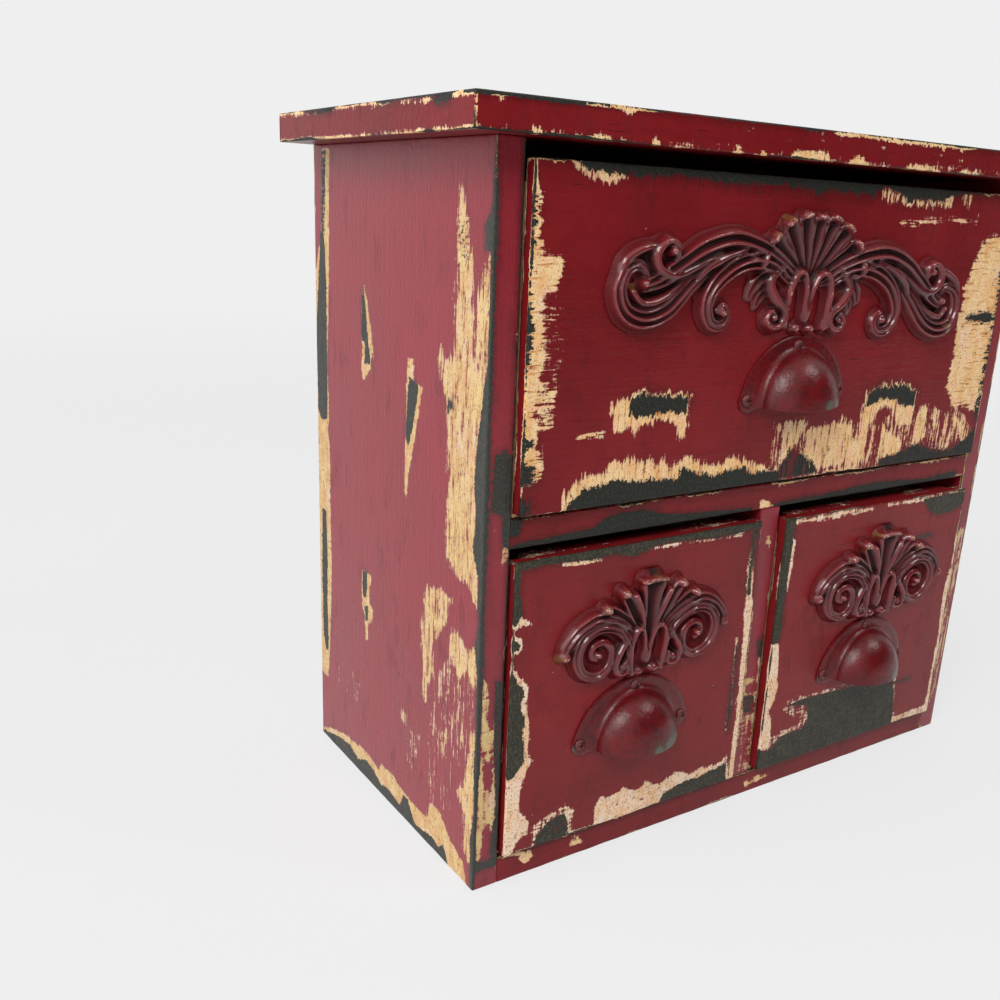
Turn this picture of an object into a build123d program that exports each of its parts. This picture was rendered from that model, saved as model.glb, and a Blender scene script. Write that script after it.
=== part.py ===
from build123d import *
import os

# Tabletop chest of three drawers: one wide drawer over two square ones, in a case of plain boards.
# Sizes are millimetres. The front faces -Y, +Z is up, and the origin is the centre of the case's
# footprint, on the surface that it stands on.

# Case
case_width = 311
case_depth = 160
case_height = 300
board = 12
top_side_overhang = 16
top_front_overhang = 12
shelf_underside = 150.5
divider_offset = -1
back_stock = 4

# Drawer boxes
front_stock = 12
side_stock = 8
bottom_stock = 3
front_side_gap = 1.5
front_bottom_gap = 1.8
runner_gap = 0.3
stop_gap = 0.3
stopped_proud = 3
side_drop = 8
rebate_depth = 6
groove_depth = 4
groove_height = 5
groove_play = 0.1
panel_play = 0.2
joint_play = 0.05

# Each drawer: how far its front stands out, the gap over it, and how its fittings sit. An ornament's
# foot is a drop below the front's top edge, and the pull's flange starts under that foot. A shift is
# to the right of the front's middle, and a tilt lifts the right-hand end, in degrees.
pull_gap = 0.5
drawer_sizes = {
    "top_drawer": {
        "proud": 4, "top_gap": 6.5, "ornament": "scroll", "ornament_drop": 63.5,
        "ornament_shift": -2, "ornament_tilt": -2.5, "pull_shift": -1, "pull_tilt": 2,
    },
    "lower_left_drawer": {
        "proud": 3, "top_gap": 5, "ornament": "palmette", "ornament_drop": 60.5,
        "ornament_shift": 1, "ornament_tilt": 0, "pull_shift": -2.5, "pull_tilt": 0.5,
    },
    "lower_right_drawer": {
        "proud": 4.5, "top_gap": 5.5, "ornament": "palmette", "ornament_drop": 60,
        "ornament_shift": 3, "ornament_tilt": 0, "pull_shift": -1, "pull_tilt": 0,
    },
}

# Brads and tacks
brad_radius = 0.6
brad_head_radius = 1.1
brad_head = 0.6
brad_set = 0.5
brad_length = 24
drawer_brad_length = 18
tack_length = 12
brad_inset = 18

# Cup pull, stamped from sheet, and its screws
pull_width = 66
pull_height = 31.4
pull_sheet = 1.2
ear_radius = 5
dome_radius = 21.5
dome_proud = 17
dome_lip = 2
screw_spacing = 57.3
screw_row = 5.6
screw_top = 27
screw_radius = 1.4
screw_head_radius = 2.6
screw_head = 1.6
screw_length = 10
screw_slot = 0.6
flange_play = 0.2

# Cast ornaments: a low body, with the raised bands and ribs over it
ornament_body = 4
ornament_relief = 4
band_shoulder = 1.5

# Derived planes of the case
case_front = -case_depth / 2
case_back = case_depth / 2
inner_half = case_width / 2 - board
panel_front = case_back - back_stock
shelf_top = shelf_underside + board
divider_left = divider_offset - board / 2
divider_right = divider_offset + board / 2
top_width = case_width + 2 * top_side_overhang
top_depth = case_depth + top_front_overhang
drawer_length = panel_front - case_front + stopped_proud - stop_gap

bays = {
    "top_drawer": (-inner_half, inner_half, shelf_top, case_height),
    "lower_left_drawer": (-inner_half, divider_left, board, shelf_underside),
    "lower_right_drawer": (divider_right, inner_half, board, shelf_underside),
}


def spot(x, y, z, outward):
    """A place on a surface, with the fastener's head side facing outward."""
    return Plane(origin=(x, y, z), z_dir=outward).location


def brad_bores(places, length):
    """Bores for headed brads set below the surface, cut into the part that is being built."""
    with Locations(*places):
        CounterBoreHole(
            radius=brad_radius + joint_play,
            counter_bore_radius=brad_head_radius + joint_play,
            counter_bore_depth=brad_set + brad_head + joint_play,
            depth=brad_set + length + joint_play,
        )


def brads(name, places, length):
    """A group of headed brads, each set a little below the face that it is driven into."""
    with BuildPart() as group:
        with Locations(*places):
            with Locations((0, 0, -brad_set)):
                top = (Align.CENTER, Align.CENTER, Align.MAX)
                Cylinder(brad_radius, length, align=top)
                Cylinder(brad_head_radius, brad_head, align=top)
    keep(name, group.part)


def keep(name, part):
    """Label one finished piece and write its file."""
    part.label = name
    export_step(part, f"parts/{name}.step")


os.makedirs("parts", exist_ok=True)

# Places of the case's brads and tacks
board_rows = (case_front + brad_inset, case_back - brad_inset)
side_middle = case_width / 2 - board / 2
shelf_middle = shelf_underside + board / 2
top_brad_places = [
    spot(side * side_middle, y, case_height + board, (0, 0, 1))
    for side in (-1, 1)
    for y in (board_rows[0], 0, board_rows[1])
]
side_brad_places = {
    side: [
        spot(side * case_width / 2, y, z, (side, 0, 0))
        for y in board_rows
        for z in (board / 2, shelf_middle)
    ]
    for side in (-1, 1)
}
divider_brad_places = [spot(divider_offset, y, shelf_top, (0, 0, 1)) for y in board_rows]
divider_brad_places += [spot(divider_offset, y, 0, (0, 0, -1)) for y in board_rows]
back_tack_places = [
    spot(x, case_back, z, (0, 1, 0))
    for z in (board / 2, shelf_middle)
    for x in (-inner_half + brad_inset, divider_offset, inner_half - brad_inset)
]
back_tack_places.append(spot(divider_offset, case_back, shelf_underside / 2, (0, 1, 0)))

# Side panels stand full height; everything else in the case is butted between or on them
for side, side_name in ((-1, "left"), (1, "right")):
    with BuildPart() as side_panel:
        with BuildSketch():
            with Locations((side * side_middle, 0)):
                Rectangle(board, case_depth)
        extrude(amount=case_height)
        brad_bores(side_brad_places[side], brad_length)
        brad_bores(top_brad_places, brad_length)
    keep(f"{side_name}_side_panel", side_panel.part)
    brads(f"{side_name}_side_brads", side_brad_places[side], brad_length)

# Bottom and shelf boards between the side panels, in front of the back panel
board_length = 2 * inner_half
board_depth = case_depth - back_stock
for level, board_name in ((0, "bottom_board"), (shelf_underside, "shelf_board")):
    with BuildPart() as cross_board:
        with BuildSketch(Plane.XY.offset(level)):
            with Locations((0, -back_stock / 2)):
                Rectangle(board_length, board_depth)
        extrude(amount=board)
        brad_bores(side_brad_places[-1] + side_brad_places[1], brad_length)
        brad_bores(divider_brad_places, brad_length)
        brad_bores(back_tack_places, tack_length)
    keep(board_name, cross_board.part)

# Upright divider between the two lower drawers
with BuildPart() as centre_divider:
    with BuildSketch(Plane.XY.offset(board)):
        with Locations((divider_offset, -back_stock / 2)):
            Rectangle(board, board_depth)
    extrude(amount=shelf_underside - board)
    brad_bores(divider_brad_places, brad_length)
    brad_bores(back_tack_places, tack_length)
keep("centre_divider", centre_divider.part)
brads("divider_brads", divider_brad_places, brad_length)

# Top board, flush at the back, overhanging at the front and both sides
with BuildPart() as top_board:
    with BuildSketch(Plane.XY.offset(case_height)):
        with Locations((0, -top_front_overhang / 2)):
            Rectangle(top_width, top_depth)
    extrude(amount=board)
    brad_bores(top_brad_places, brad_length)
keep("top_board", top_board.part)
brads("top_board_brads", top_brad_places, brad_length)

# Thin back panel let in between the side panels, tacked to the boards' back edges
with BuildPart() as back_panel:
    with BuildSketch(Plane.XZ.offset(-panel_front)):
        with Locations((0, case_height / 2)):
            Rectangle(board_length, case_height)
    extrude(amount=-back_stock)
    brad_bores(back_tack_places, tack_length)
keep("back_panel", back_panel.part)
brads("back_panel_tacks", back_tack_places, tack_length)

# The cup pull lies in its own frame: X across, Y up from the flange's lower edge, Z out of the face
with BuildPart() as pull_blank:
    with BuildSketch() as flange:
        Ellipse(pull_width / 2, pull_height)
        with Locations((0, -pull_height / 2)):
            Rectangle(pull_width, pull_height, mode=Mode.SUBTRACT)
        fillet(flange.vertices(), ear_radius)
        with Locations((0, dome_lip)):
            Circle(dome_radius - pull_sheet, mode=Mode.SUBTRACT)
    extrude(amount=pull_sheet)
    with BuildSketch(Plane.XZ.offset(-dome_lip)):
        Ellipse(dome_radius, dome_proud)
        Ellipse(dome_radius - pull_sheet, dome_proud - pull_sheet, mode=Mode.SUBTRACT)
        with Locations((dome_radius / 2, dome_proud / 2)):
            Rectangle(dome_radius, dome_proud, mode=Mode.INTERSECT)
    revolve(axis=Axis((0, dome_lip, 0), (0, 0, 1)), revolution_arc=180)
    with Locations((-screw_spacing / 2, screw_row), (screw_spacing / 2, screw_row), (0, screw_top)):
        Hole(screw_radius + flange_play)

# Round-headed screw with a crossed slot; its head's underside is at Z = 0
with BuildPart() as screw_blank:
    with BuildSketch(Plane.XZ):
        with BuildLine():
            Polyline(
                (0, screw_head), (0, -screw_length), (screw_radius, -screw_length + 2 * screw_radius),
                (screw_radius, 0), (screw_head_radius, 0), (screw_head_radius, screw_head / 4),
            )
            ThreePointArc(
                (screw_head_radius, screw_head / 4),
                (screw_head_radius * 0.7, screw_head * 0.75),
                (0, screw_head),
            )
        make_face()
    revolve(axis=Axis.Z)
    with Locations((0, 0, screw_head)):
        for length, width in ((screw_head_radius, screw_slot), (screw_slot, screw_head_radius)):
            Box(length, width, screw_head, mode=Mode.SUBTRACT)

pull_screw_points = (
    (-screw_spacing / 2, screw_row),
    (screw_spacing / 2, screw_row),
    (0, screw_top),
)


def fan_sketch(root, reach, ribs, rib_width, spread, shoulder=0):
    """Ribs of a shell, spread like a fan about the upright, each drawn in by a shoulder all round."""
    with BuildSketch() as fan:
        with Locations((0, root)):
            with PolarLocations(reach / 2, ribs, 90 - spread / 2, spread, endpoint=True):
                SlotOverall(reach - 2 * shoulder, rib_width - 2 * shoulder)
    return fan.sketch


def band_sketch(routes, width):
    """Bands of one width on both sides of the upright; a route of three points is one arc."""
    with BuildSketch() as bands:
        for route in routes:
            with BuildLine():
                if len(route) == 3:
                    ThreePointArc(*route)
                else:
                    Spline(*route)
            trace(line_width=width)
        mirror(about=Plane.YZ)
    return bands.sketch


def curl_sketch(centres, radius):
    """Round curls, on both sides of the upright."""
    with BuildSketch() as curls:
        with Locations(*centres):
            Circle(radius)
        mirror(about=Plane.YZ)
    return curls.sketch


# Wide ornament: a shell in the middle, leafy arms that end in curls, and scrolls that hang from them
scroll_root = 21
scroll_fan = {"root": scroll_root, "reach": 30, "ribs": 9, "rib_width": 8.5, "spread": 150}
scroll_arms = (
    ((8, 24), (28, 31), (50, 33), (68, 28), (82, 20), (96, 18)),
    ((62, 28), (74, 12), (88, 5), (100, 8), (101, 20)),
)
scroll_hangers = (
    ((14, 26), (32, 27), (48, 23), (57, 12), (52, 4)),
    ((8, 24), (14, 16), (16, 6)),
)
scroll_curls = ((80, 30), (52, 8), (20, 8), (98, 14))
scroll_curl_radius = 6.5
scroll_band = 9
with BuildPart() as scroll_blank:
    with BuildSketch():
        add(fan_sketch(**scroll_fan))
        add(band_sketch(scroll_arms + scroll_hangers, scroll_band))
        add(curl_sketch(scroll_curls, scroll_curl_radius))
        with Locations((0, scroll_root / 2)):
            Rectangle(2 * scroll_band, scroll_root)
    extrude(amount=ornament_body)
    with BuildSketch(Plane.XY.offset(ornament_body)):
        add(fan_sketch(shoulder=band_shoulder, **scroll_fan))
        add(band_sketch(scroll_arms + scroll_hangers, scroll_band - 2 * band_shoulder))
        add(curl_sketch(scroll_curls, scroll_curl_radius - band_shoulder))
    extrude(amount=ornament_relief)

# Small ornament: a palmette over two round volutes, with a bud at each end
palmette_root = 16
palmette_fan = {"root": palmette_root, "reach": 31, "ribs": 7, "rib_width": 8, "spread": 132}
palmette_bands = (
    ((3, 22), (30, 30), (46, 17)),
    ((3, 19), (11, 15), (14, 6)),
)
palmette_volute = (27, 16)
palmette_volute_radius = 13
palmette_buds = ((44, 18), (16, 7))
palmette_bud_radius = 4.5
palmette_band = 6
with BuildPart() as palmette_blank:
    with BuildSketch():
        add(fan_sketch(**palmette_fan))
        add(band_sketch(palmette_bands, palmette_band))
        add(curl_sketch((palmette_volute,), palmette_volute_radius))
        add(curl_sketch(palmette_buds, palmette_bud_radius))
        with Locations((0, palmette_root / 2)):
            Rectangle(2 * palmette_band, palmette_root)
    extrude(amount=ornament_body)
    with BuildSketch(Plane.XY.offset(ornament_body)):
        add(fan_sketch(shoulder=band_shoulder, **palmette_fan))
        add(band_sketch(palmette_bands, palmette_band - 2 * band_shoulder))
        add(curl_sketch((palmette_volute,), palmette_volute_radius - band_shoulder))
        add(curl_sketch(palmette_buds, palmette_bud_radius - band_shoulder))
    extrude(amount=ornament_relief)

ornament_blanks = {"scroll": scroll_blank.part, "palmette": palmette_blank.part}

# Drawers: inset front with rebated ends, sides brad-nailed to front and back, bottom in grooves
for name, (bay_left, bay_right, bay_floor, bay_ceiling) in bays.items():
    sizes = drawer_sizes[name]
    left = bay_left + front_side_gap
    right = bay_right - front_side_gap
    width = right - left
    middle = (left + right) / 2
    front_low = bay_floor + front_bottom_gap
    front_high = bay_ceiling - sizes["top_gap"]
    face = case_front - sizes["proud"]
    front_back = face + front_stock
    rear = face + drawer_length
    side_low = bay_floor + runner_gap
    side_high = front_high - side_drop
    side_start = front_back - rebate_depth
    groove_low = side_low + groove_height
    groove_high = groove_low + bottom_stock + 2 * groove_play
    panel_low = groove_low + groove_play
    panel_high = panel_low + bottom_stock
    brad_heights = (panel_high + brad_inset, side_high - brad_inset)
    drawer_brad_places = [
        spot(x, y, z, (outward, 0, 0))
        for x, outward in ((left, -1), (right, 1))
        for y in (side_start + rebate_depth / 2, rear - side_stock / 2)
        for z in brad_heights
    ]
    ornament_foot = front_high - sizes["ornament_drop"]
    ornament_plane, pull_plane = (
        Plane(
            (middle + sizes[f"{fitting}_shift"], face, foot),
            x_dir=Vector(1, 0, 0).rotate(Axis.Y, -sizes[f"{fitting}_tilt"]),
            z_dir=(0, -1, 0),
        )
        for fitting, foot in (
            ("ornament", ornament_foot),
            ("pull", ornament_foot - pull_gap - pull_height),
        )
    )

    with BuildPart() as front:
        with BuildSketch(Plane.XY.offset(front_low)):
            with Locations((middle, (face + front_back) / 2)):
                Rectangle(width, front_stock)
            with Locations(
                (left + side_stock / 2, front_back - rebate_depth / 2),
                (right - side_stock / 2, front_back - rebate_depth / 2),
            ):
                Rectangle(side_stock, rebate_depth, mode=Mode.SUBTRACT)
        extrude(amount=front_high - front_low)
        with BuildSketch(Plane.XY.offset(groove_low)):
            with Locations((middle, front_back - groove_depth / 2)):
                Rectangle(width, groove_depth)
        extrude(amount=groove_high - groove_low, mode=Mode.SUBTRACT)
        brad_bores(drawer_brad_places, drawer_brad_length)
        with Locations(pull_plane.location):
            with Locations(*pull_screw_points):
                Hole(screw_radius + joint_play, depth=screw_length - pull_sheet + joint_play)
    keep(f"{name}_front", front.part)

    for side_name, outer, inner in (
        ("left", left, left + side_stock),
        ("right", right, right - side_stock),
    ):
        with BuildPart() as drawer_side:
            with BuildSketch(Plane.XY.offset(side_low)):
                with Locations(((outer + inner) / 2, (side_start + rear) / 2)):
                    Rectangle(side_stock, rear - side_start)
            extrude(amount=side_high - side_low)
            with BuildSketch(Plane.XY.offset(groove_low)):
                with Locations((inner, (side_start + rear) / 2)):
                    Rectangle(2 * groove_depth, rear - side_start)
            extrude(amount=groove_high - groove_low, mode=Mode.SUBTRACT)
            brad_bores(drawer_brad_places, drawer_brad_length)
        keep(f"{name}_{side_name}_side", drawer_side.part)

    with BuildPart() as drawer_back:
        with BuildSketch(Plane.XY.offset(panel_high)):
            with Locations((middle, rear - side_stock / 2)):
                Rectangle(width - 2 * side_stock, side_stock)
        extrude(amount=side_high - panel_high)
        brad_bores(drawer_brad_places, drawer_brad_length)
    keep(f"{name}_back", drawer_back.part)

    panel_start = front_back - groove_depth + panel_play
    with BuildPart() as drawer_bottom:
        with BuildSketch(Plane.XY.offset(panel_low)):
            with Locations((middle, (panel_start + rear) / 2)):
                panel_width = width - 2 * (side_stock - groove_depth + panel_play)
                Rectangle(panel_width, rear - panel_start)
        extrude(amount=bottom_stock)
    keep(f"{name}_bottom", drawer_bottom.part)

    brads(f"{name}_brads", drawer_brad_places, drawer_brad_length)

    with BuildPart() as ornament:
        with Locations(ornament_plane.location):
            add(ornament_blanks[sizes["ornament"]])
    keep(f"{name}_ornament", ornament.part)

    with BuildPart() as pull:
        with Locations(pull_plane.location):
            add(pull_blank.part)
    keep(f"{name}_pull", pull.part)

    with BuildPart() as pull_screws:
        with Locations(pull_plane.offset(pull_sheet).location):
            with Locations(*pull_screw_points):
                add(screw_blank.part)
    keep(f"{name}_pull_screws", pull_screws.part)
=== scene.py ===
import math

import bmesh
import bpy
import numpy as np
from mathutils import Euler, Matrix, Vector, noise


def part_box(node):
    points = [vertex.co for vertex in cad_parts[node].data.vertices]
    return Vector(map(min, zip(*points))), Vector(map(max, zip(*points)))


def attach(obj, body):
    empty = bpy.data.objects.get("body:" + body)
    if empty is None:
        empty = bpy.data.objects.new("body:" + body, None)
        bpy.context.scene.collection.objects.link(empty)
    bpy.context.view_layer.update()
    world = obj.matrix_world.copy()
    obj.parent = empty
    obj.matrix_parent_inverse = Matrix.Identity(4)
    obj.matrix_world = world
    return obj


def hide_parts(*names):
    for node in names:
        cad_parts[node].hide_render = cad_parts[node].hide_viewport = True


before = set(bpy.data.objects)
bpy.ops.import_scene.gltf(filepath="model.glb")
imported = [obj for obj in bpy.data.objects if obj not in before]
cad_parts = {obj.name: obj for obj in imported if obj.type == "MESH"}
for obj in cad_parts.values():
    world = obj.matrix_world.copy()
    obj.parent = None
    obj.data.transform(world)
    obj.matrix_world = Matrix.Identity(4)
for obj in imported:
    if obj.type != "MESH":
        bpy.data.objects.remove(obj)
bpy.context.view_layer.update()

# ---------------------------------------------------------------------------------------------
# Case boards. Planed pine boards 12 mm thick, butted, glued and pinned, then brushed with a black
# ground, a cream coat and a red coat. Sanding and knocks have worn the coats back off the arrises.
# Sizes are in millimetres, but for a depth that a material's relief uses, which is in metres.
MM = 0.001
DEPTH_OF_COAT = 0.00022
board_arris = 0.9
fine_pitch = 1.3
coarse_pitch = 4.0
tooth_fade = 3.0
# how steeply the depth of wear grows at the border of a calm mark, and at an arris: steep is crisp
calm_gain = 1.9
arris_gain = 3.5
case_corner_mm = np.array(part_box("left_side_panel")[0]) / MM * (1, 1, 0)


def linear(hex_colour):
    """An sRGB hex colour as linear RGBA."""
    parts = [int(hex_colour[i:i + 2], 16) / 255 for i in (1, 3, 5)]
    return [c / 12.92 if c <= 0.04045 else ((c + 0.055) / 1.055) ** 2.4 for c in parts] + [1.0]


def add_node(tree, kind, inputs=None, **settings):
    """Add a node with its settings, and link or set its inputs."""
    node = tree.nodes.new(kind)
    for name, value in settings.items():
        setattr(node, name, value)
    for key, value in (inputs or {}).items():
        if isinstance(value, bpy.types.NodeSocket):
            tree.links.new(value, node.inputs[key])
        else:
            node.inputs[key].default_value = value
    return node


def new_material(name):
    """An empty material and its node tree, with object coordinates in metres ready."""
    material = bpy.data.materials.new(name)
    material.use_nodes = True
    tree = material.node_tree
    tree.nodes.clear()
    place = add_node(tree, "ShaderNodeTexCoord").outputs["Object"]
    return material, tree, place


def stretched_noise(tree, place, size_mm, detail=3.0, roughness=0.55):
    """Noise whose grain has the given size in millimetres along each axis."""
    scale = tuple(1 / (MM * s) for s in size_mm)
    scaled = add_node(tree, "ShaderNodeVectorMath", {0: place, 1: scale}, operation="MULTIPLY")
    return add_node(tree, "ShaderNodeTexNoise", {
        "Vector": scaled.outputs[0], "Scale": 1.0, "Detail": detail, "Roughness": roughness,
    }).outputs["Fac"]


def swing(tree, value, reach):
    """A noise value, centred on zero and spread to plus or minus about its reach."""
    centred = add_node(tree, "ShaderNodeMath", {0: value, 1: 0.5}, operation="SUBTRACT")
    return add_node(tree, "ShaderNodeMath", {0: centred.outputs[0], 1: reach},
                    operation="MULTIPLY").outputs[0]


def total(tree, *values):
    """The sum of several values."""
    result = values[0]
    for value in values[1:]:
        result = add_node(tree, "ShaderNodeMath", {0: result, 1: value}, operation="ADD").outputs[0]
    return result


def patches(tree, low, high, *values):
    """1 where some values add up to more than high, 0 where to less than low, smooth between."""
    return add_node(tree, "ShaderNodeMapRange", {
        "Value": total(tree, *values), "From Min": low, "From Max": high,
    }, interpolation_type="SMOOTHSTEP").outputs[0]


def coat(tree, under, where, over, opacity=1.0):
    """One colour laid over another where a value is 1, and thinned by its opacity. A colour is a hex
    value, or the coats that are there already."""
    under, over = (linear(colour) if isinstance(colour, str) else colour for colour in (under, over))
    if opacity < 1.0:
        where = add_node(tree, "ShaderNodeMath", {0: where, 1: opacity}, operation="MULTIPLY").outputs[0]
    return add_node(tree, "ShaderNodeMix", {0: where, 6: under, 7: over}, data_type="RGBA").outputs[2]


def finish_surface(tree, colour, roughness, bump, **fixed):
    """Close a material: colour, roughness and bump vary over it, the rest is set on the shader."""
    relief = add_node(tree, "ShaderNodeBump", {"Height": bump, "Distance": 1.0, "Strength": 1.0})
    shader = add_node(tree, "ShaderNodeBsdfPrincipled", {
        "Base Color": colour, "Roughness": roughness, "Normal": relief.outputs[0], **fixed,
    })
    add_node(tree, "ShaderNodeOutputMaterial", {"Surface": shader.outputs[0]})


def worn_paint(name, reds, creams, grounds, brush_mm, gloss, shine):
    """Brushed satin alkyd paint in three coats, black, cream and red. A piece's 'cream' and 'black'
    attributes say in millimetres how far inside a worn place a point is; brush and sanding noise
    then tear its border, so the coats show through as ragged islands and teeth."""
    deep_red, red = reds
    amber, pale_cream, pink_cream, fleck, chalk = creams
    material, tree, place = new_material(name)
    cream_depth = add_node(tree, "ShaderNodeAttribute", attribute_name="cream").outputs["Fac"]
    black_depth = add_node(tree, "ShaderNodeAttribute", attribute_name="black").outputs["Fac"]
    across = add_node(tree, "ShaderNodeAttribute", attribute_name="across").outputs["Fac"]
    # sanding strokes leave teeth about 1.3 mm wide and 12 to 15 mm long, up or across the board
    upright = stretched_noise(tree, place, (1.3, 1.3, 15.0), 2.5, 0.6)
    level = stretched_noise(tree, place, (12.0, 12.0, 1.3), 2.5, 0.6)
    teeth = add_node(tree, "ShaderNodeMix", {0: across, 2: upright, 3: level}).outputs[0]
    crumbs = stretched_noise(tree, place, (0.8, 0.8, 1.1), 4.0, 0.7)
    knots = stretched_noise(tree, place, (2.6, 2.6, 2.6), 3.0, 0.6)
    islands = stretched_noise(tree, place, (4.5, 4.5, 9.0), 3.0)
    worn = total(tree, cream_depth, swing(tree, teeth, 10.0), swing(tree, crumbs, 5.0),
                 swing(tree, islands, 4.0), swing(tree, knots, 4.0))
    deep = total(tree, black_depth, swing(tree, teeth, 8.0), swing(tree, crumbs, 5.0),
                 swing(tree, knots, 4.0))
    cream = patches(tree, -0.05, 0.12, worn)
    fringe = patches(tree, -0.4, 0.05, worn)
    black = patches(tree, -0.1, 0.12, deep)
    # hands leave dark grease beside the arrises and in the low places round a deep chip
    grease = patches(tree, -6.0, 0.5, black_depth, swing(tree, knots, 6.0), swing(tree, teeth, 6.0))
    # knocks smaller than 1 mm over the whole face
    knocks = patches(tree, 0.775, 0.79, stretched_noise(tree, place, (2.0, 2.0, 2.6), 2.0))
    clouds = stretched_noise(tree, place, (38, 38, 55), 4.0)
    strokes = stretched_noise(tree, place, brush_mm, 3.0, 0.7)
    # the grain has opened in hairlines here and there, dark with dust
    hairline_mm = tuple(size / 2.2 for size in brush_mm)
    hairlines = patches(tree, 0.69, 0.74, stretched_noise(tree, place, hairline_mm, 2.0),
                        swing(tree, clouds, 0.25))
    stains = patches(tree, 0.52, 0.74, stretched_noise(tree, place, (9, 9, 22), 5.0, 0.7))
    colour = coat(tree, deep_red, clouds, red)
    colour = coat(tree, colour, patches(tree, 0.45, 0.8, strokes), "#4A0A0E", 0.2)
    colour = coat(tree, colour, stains, "#3A0E10", 0.38)
    colour = coat(tree, colour, hairlines, "#2E080A", 0.6)
    colour = coat(tree, colour, grease, "#3A0C0E", 0.5)
    bared = coat(tree, amber, patches(tree, 0.36, 0.6, islands), pale_cream)
    bared = coat(tree, bared, patches(tree, 0.54, 0.66, teeth), pink_cream)
    bared = coat(tree, bared, patches(tree, 0.44, 0.36, teeth), fleck)
    bared = coat(tree, bared, patches(tree, 0.1, 0.8, stains), chalk, 0.6)
    bared = coat(tree, bared, patches(tree, 0.54, 0.64, crumbs), "#A87848")
    # crumbs of the red coat and of the ground stay in the low places of a sanded patch
    left_over = total(tree, crumbs, swing(tree, knots, 0.6), swing(tree, teeth, 0.5))
    bared = coat(tree, bared, patches(tree, 0.37, 0.32, left_over), "#8A3630")
    bared = coat(tree, bared, patches(tree, 0.27, 0.23, left_over), "#3A322A")
    ground = coat(tree, grounds[0], patches(tree, 0.45, 0.7, crumbs), grounds[1])
    colour = coat(tree, colour, fringe, "#D49A92")
    colour = coat(tree, colour, cream, bared)
    colour = coat(tree, colour, knocks, "#D9A79B")
    colour = coat(tree, colour, black, ground)
    relief = total(tree, swing(tree, cream, -DEPTH_OF_COAT), swing(tree, black, -DEPTH_OF_COAT),
                   swing(tree, strokes, 0.00014), swing(tree, crumbs, 0.00012),
                   swing(tree, stains, 0.00006), swing(tree, knots, 0.00016))
    sheen = add_node(tree, "ShaderNodeMapRange", {
        "Value": total(tree, cream, black), "From Max": 2.0, "To Min": gloss, "To Max": 0.6,
    }).outputs[0]
    roughness = total(tree, sheen, swing(tree, clouds, 0.2), swing(tree, stains, 0.12))
    finish_surface(tree, colour, roughness, relief, **{"Specular IOR Level": shine})
    return material


def stations(low, high, arris, pitch):
    """Grid lines along one edge of a board: close together over the rounded arris, even between."""
    near = [low, low + 0.15 * arris, low + 0.5 * arris, low + arris]
    far = [high - arris, high - 0.5 * arris, high - 0.15 * arris, high]
    count = max(1, round((far[0] - near[-1]) / pitch))
    return near + [near[-1] + (far[0] - near[-1]) * i / count for i in range(1, count)] + far


def wandering(points, size, seed):
    """Smooth noise in -1 to 1 at each point, with bumps of about the given size."""
    return np.array([noise.noise(Vector(p) / size + Vector((seed, 0, 0))) for p in points])


def depth_inside(points, outline):
    """How far each 2-D point lies inside a closed outline: positive inside, negative outside."""
    corners = np.array(outline, float)
    nearest = np.full(len(points), 1e9)
    inside = np.zeros(len(points), bool)
    for a, b in zip(corners, np.roll(corners, -1, axis=0)):
        along = np.clip(((points - a) @ (b - a)) / max((b - a) @ (b - a), 1e-9), 0, 1)
        nearest = np.minimum(nearest, np.linalg.norm(points - a - along[:, None] * (b - a), axis=1))
        if a[1] != b[1]:
            crosses = (points[:, 1] < a[1]) != (points[:, 1] < b[1])
            inside ^= crosses & (points[:, 0] < a[0] + (b[0] - a[0]) * (points[:, 1] - a[1])
                                 / (b[1] - a[1]))
    return np.where(inside, nearest, -nearest)


def board_grid(low, high, arris, pitch, seed):
    """Points and quads of a board whose arrises are rounded unevenly, as by years of handling."""
    lines = [stations(low[i], high[i], arris, pitch) for i in range(3)]
    index, points, quads = {}, [], []

    def corner(key):
        if key not in index:
            index[key] = len(points)
            points.append([lines[i][key[i]] for i in range(3)])
        return index[key]

    for axis in range(3):
        u, v = (axis + 1) % 3, (axis + 2) % 3
        for end in (0, len(lines[axis]) - 1):
            for i in range(len(lines[u]) - 1):
                for j in range(len(lines[v]) - 1):
                    loop = []
                    for du, dv in ((0, 0), (1, 0), (1, 1), (0, 1)):
                        key = [0, 0, 0]
                        key[axis], key[u], key[v] = end, i + du, j + dv
                        loop.append(corner(tuple(key)))
                    quads.append(loop if end else loop[::-1])
    points = np.array(points)
    radius = arris * (0.62 + 0.38 * wandering(points, 9.0, seed))
    radius = np.clip(radius, 0.15, arris)[:, None]
    core = np.clip(points, np.array(low) + radius, np.array(high) - radius)
    out = points - core
    length = np.linalg.norm(out, axis=1, keepdims=True)
    rounded = core + out / np.maximum(length, 1e-9) * radius
    edge = (np.abs(out) > 1e-9).sum(axis=1) > 1
    return np.where(edge[:, None], rounded, points), quads, points


def new_piece(name, points_mm, quads, attributes, material):
    """A mesh object from points in millimetres, with its per-point attributes and material."""
    mesh = bpy.data.meshes.new(name)
    mesh.from_pydata((np.asarray(points_mm) * MM).tolist(), [], quads)
    for label, values in attributes.items():
        layer = mesh.attributes.new(label, "FLOAT", "POINT")
        layer.data.foreach_set("value", np.asarray(values, np.float32))
    mesh.materials.append(material)
    mesh.polygons.foreach_set("use_smooth", [True] * len(mesh.polygons))
    mesh.update()
    piece = bpy.data.objects.new(name, mesh)
    bpy.context.collection.objects.link(piece)
    return piece


FACES = {"left": (0, 0, 1, 2), "right": (0, 1, 1, 2), "front": (1, 0, 0, 2), "back": (1, 1, 0, 2),
         "under": (2, 0, 0, 1), "top": (2, 1, 0, 1)}


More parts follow.
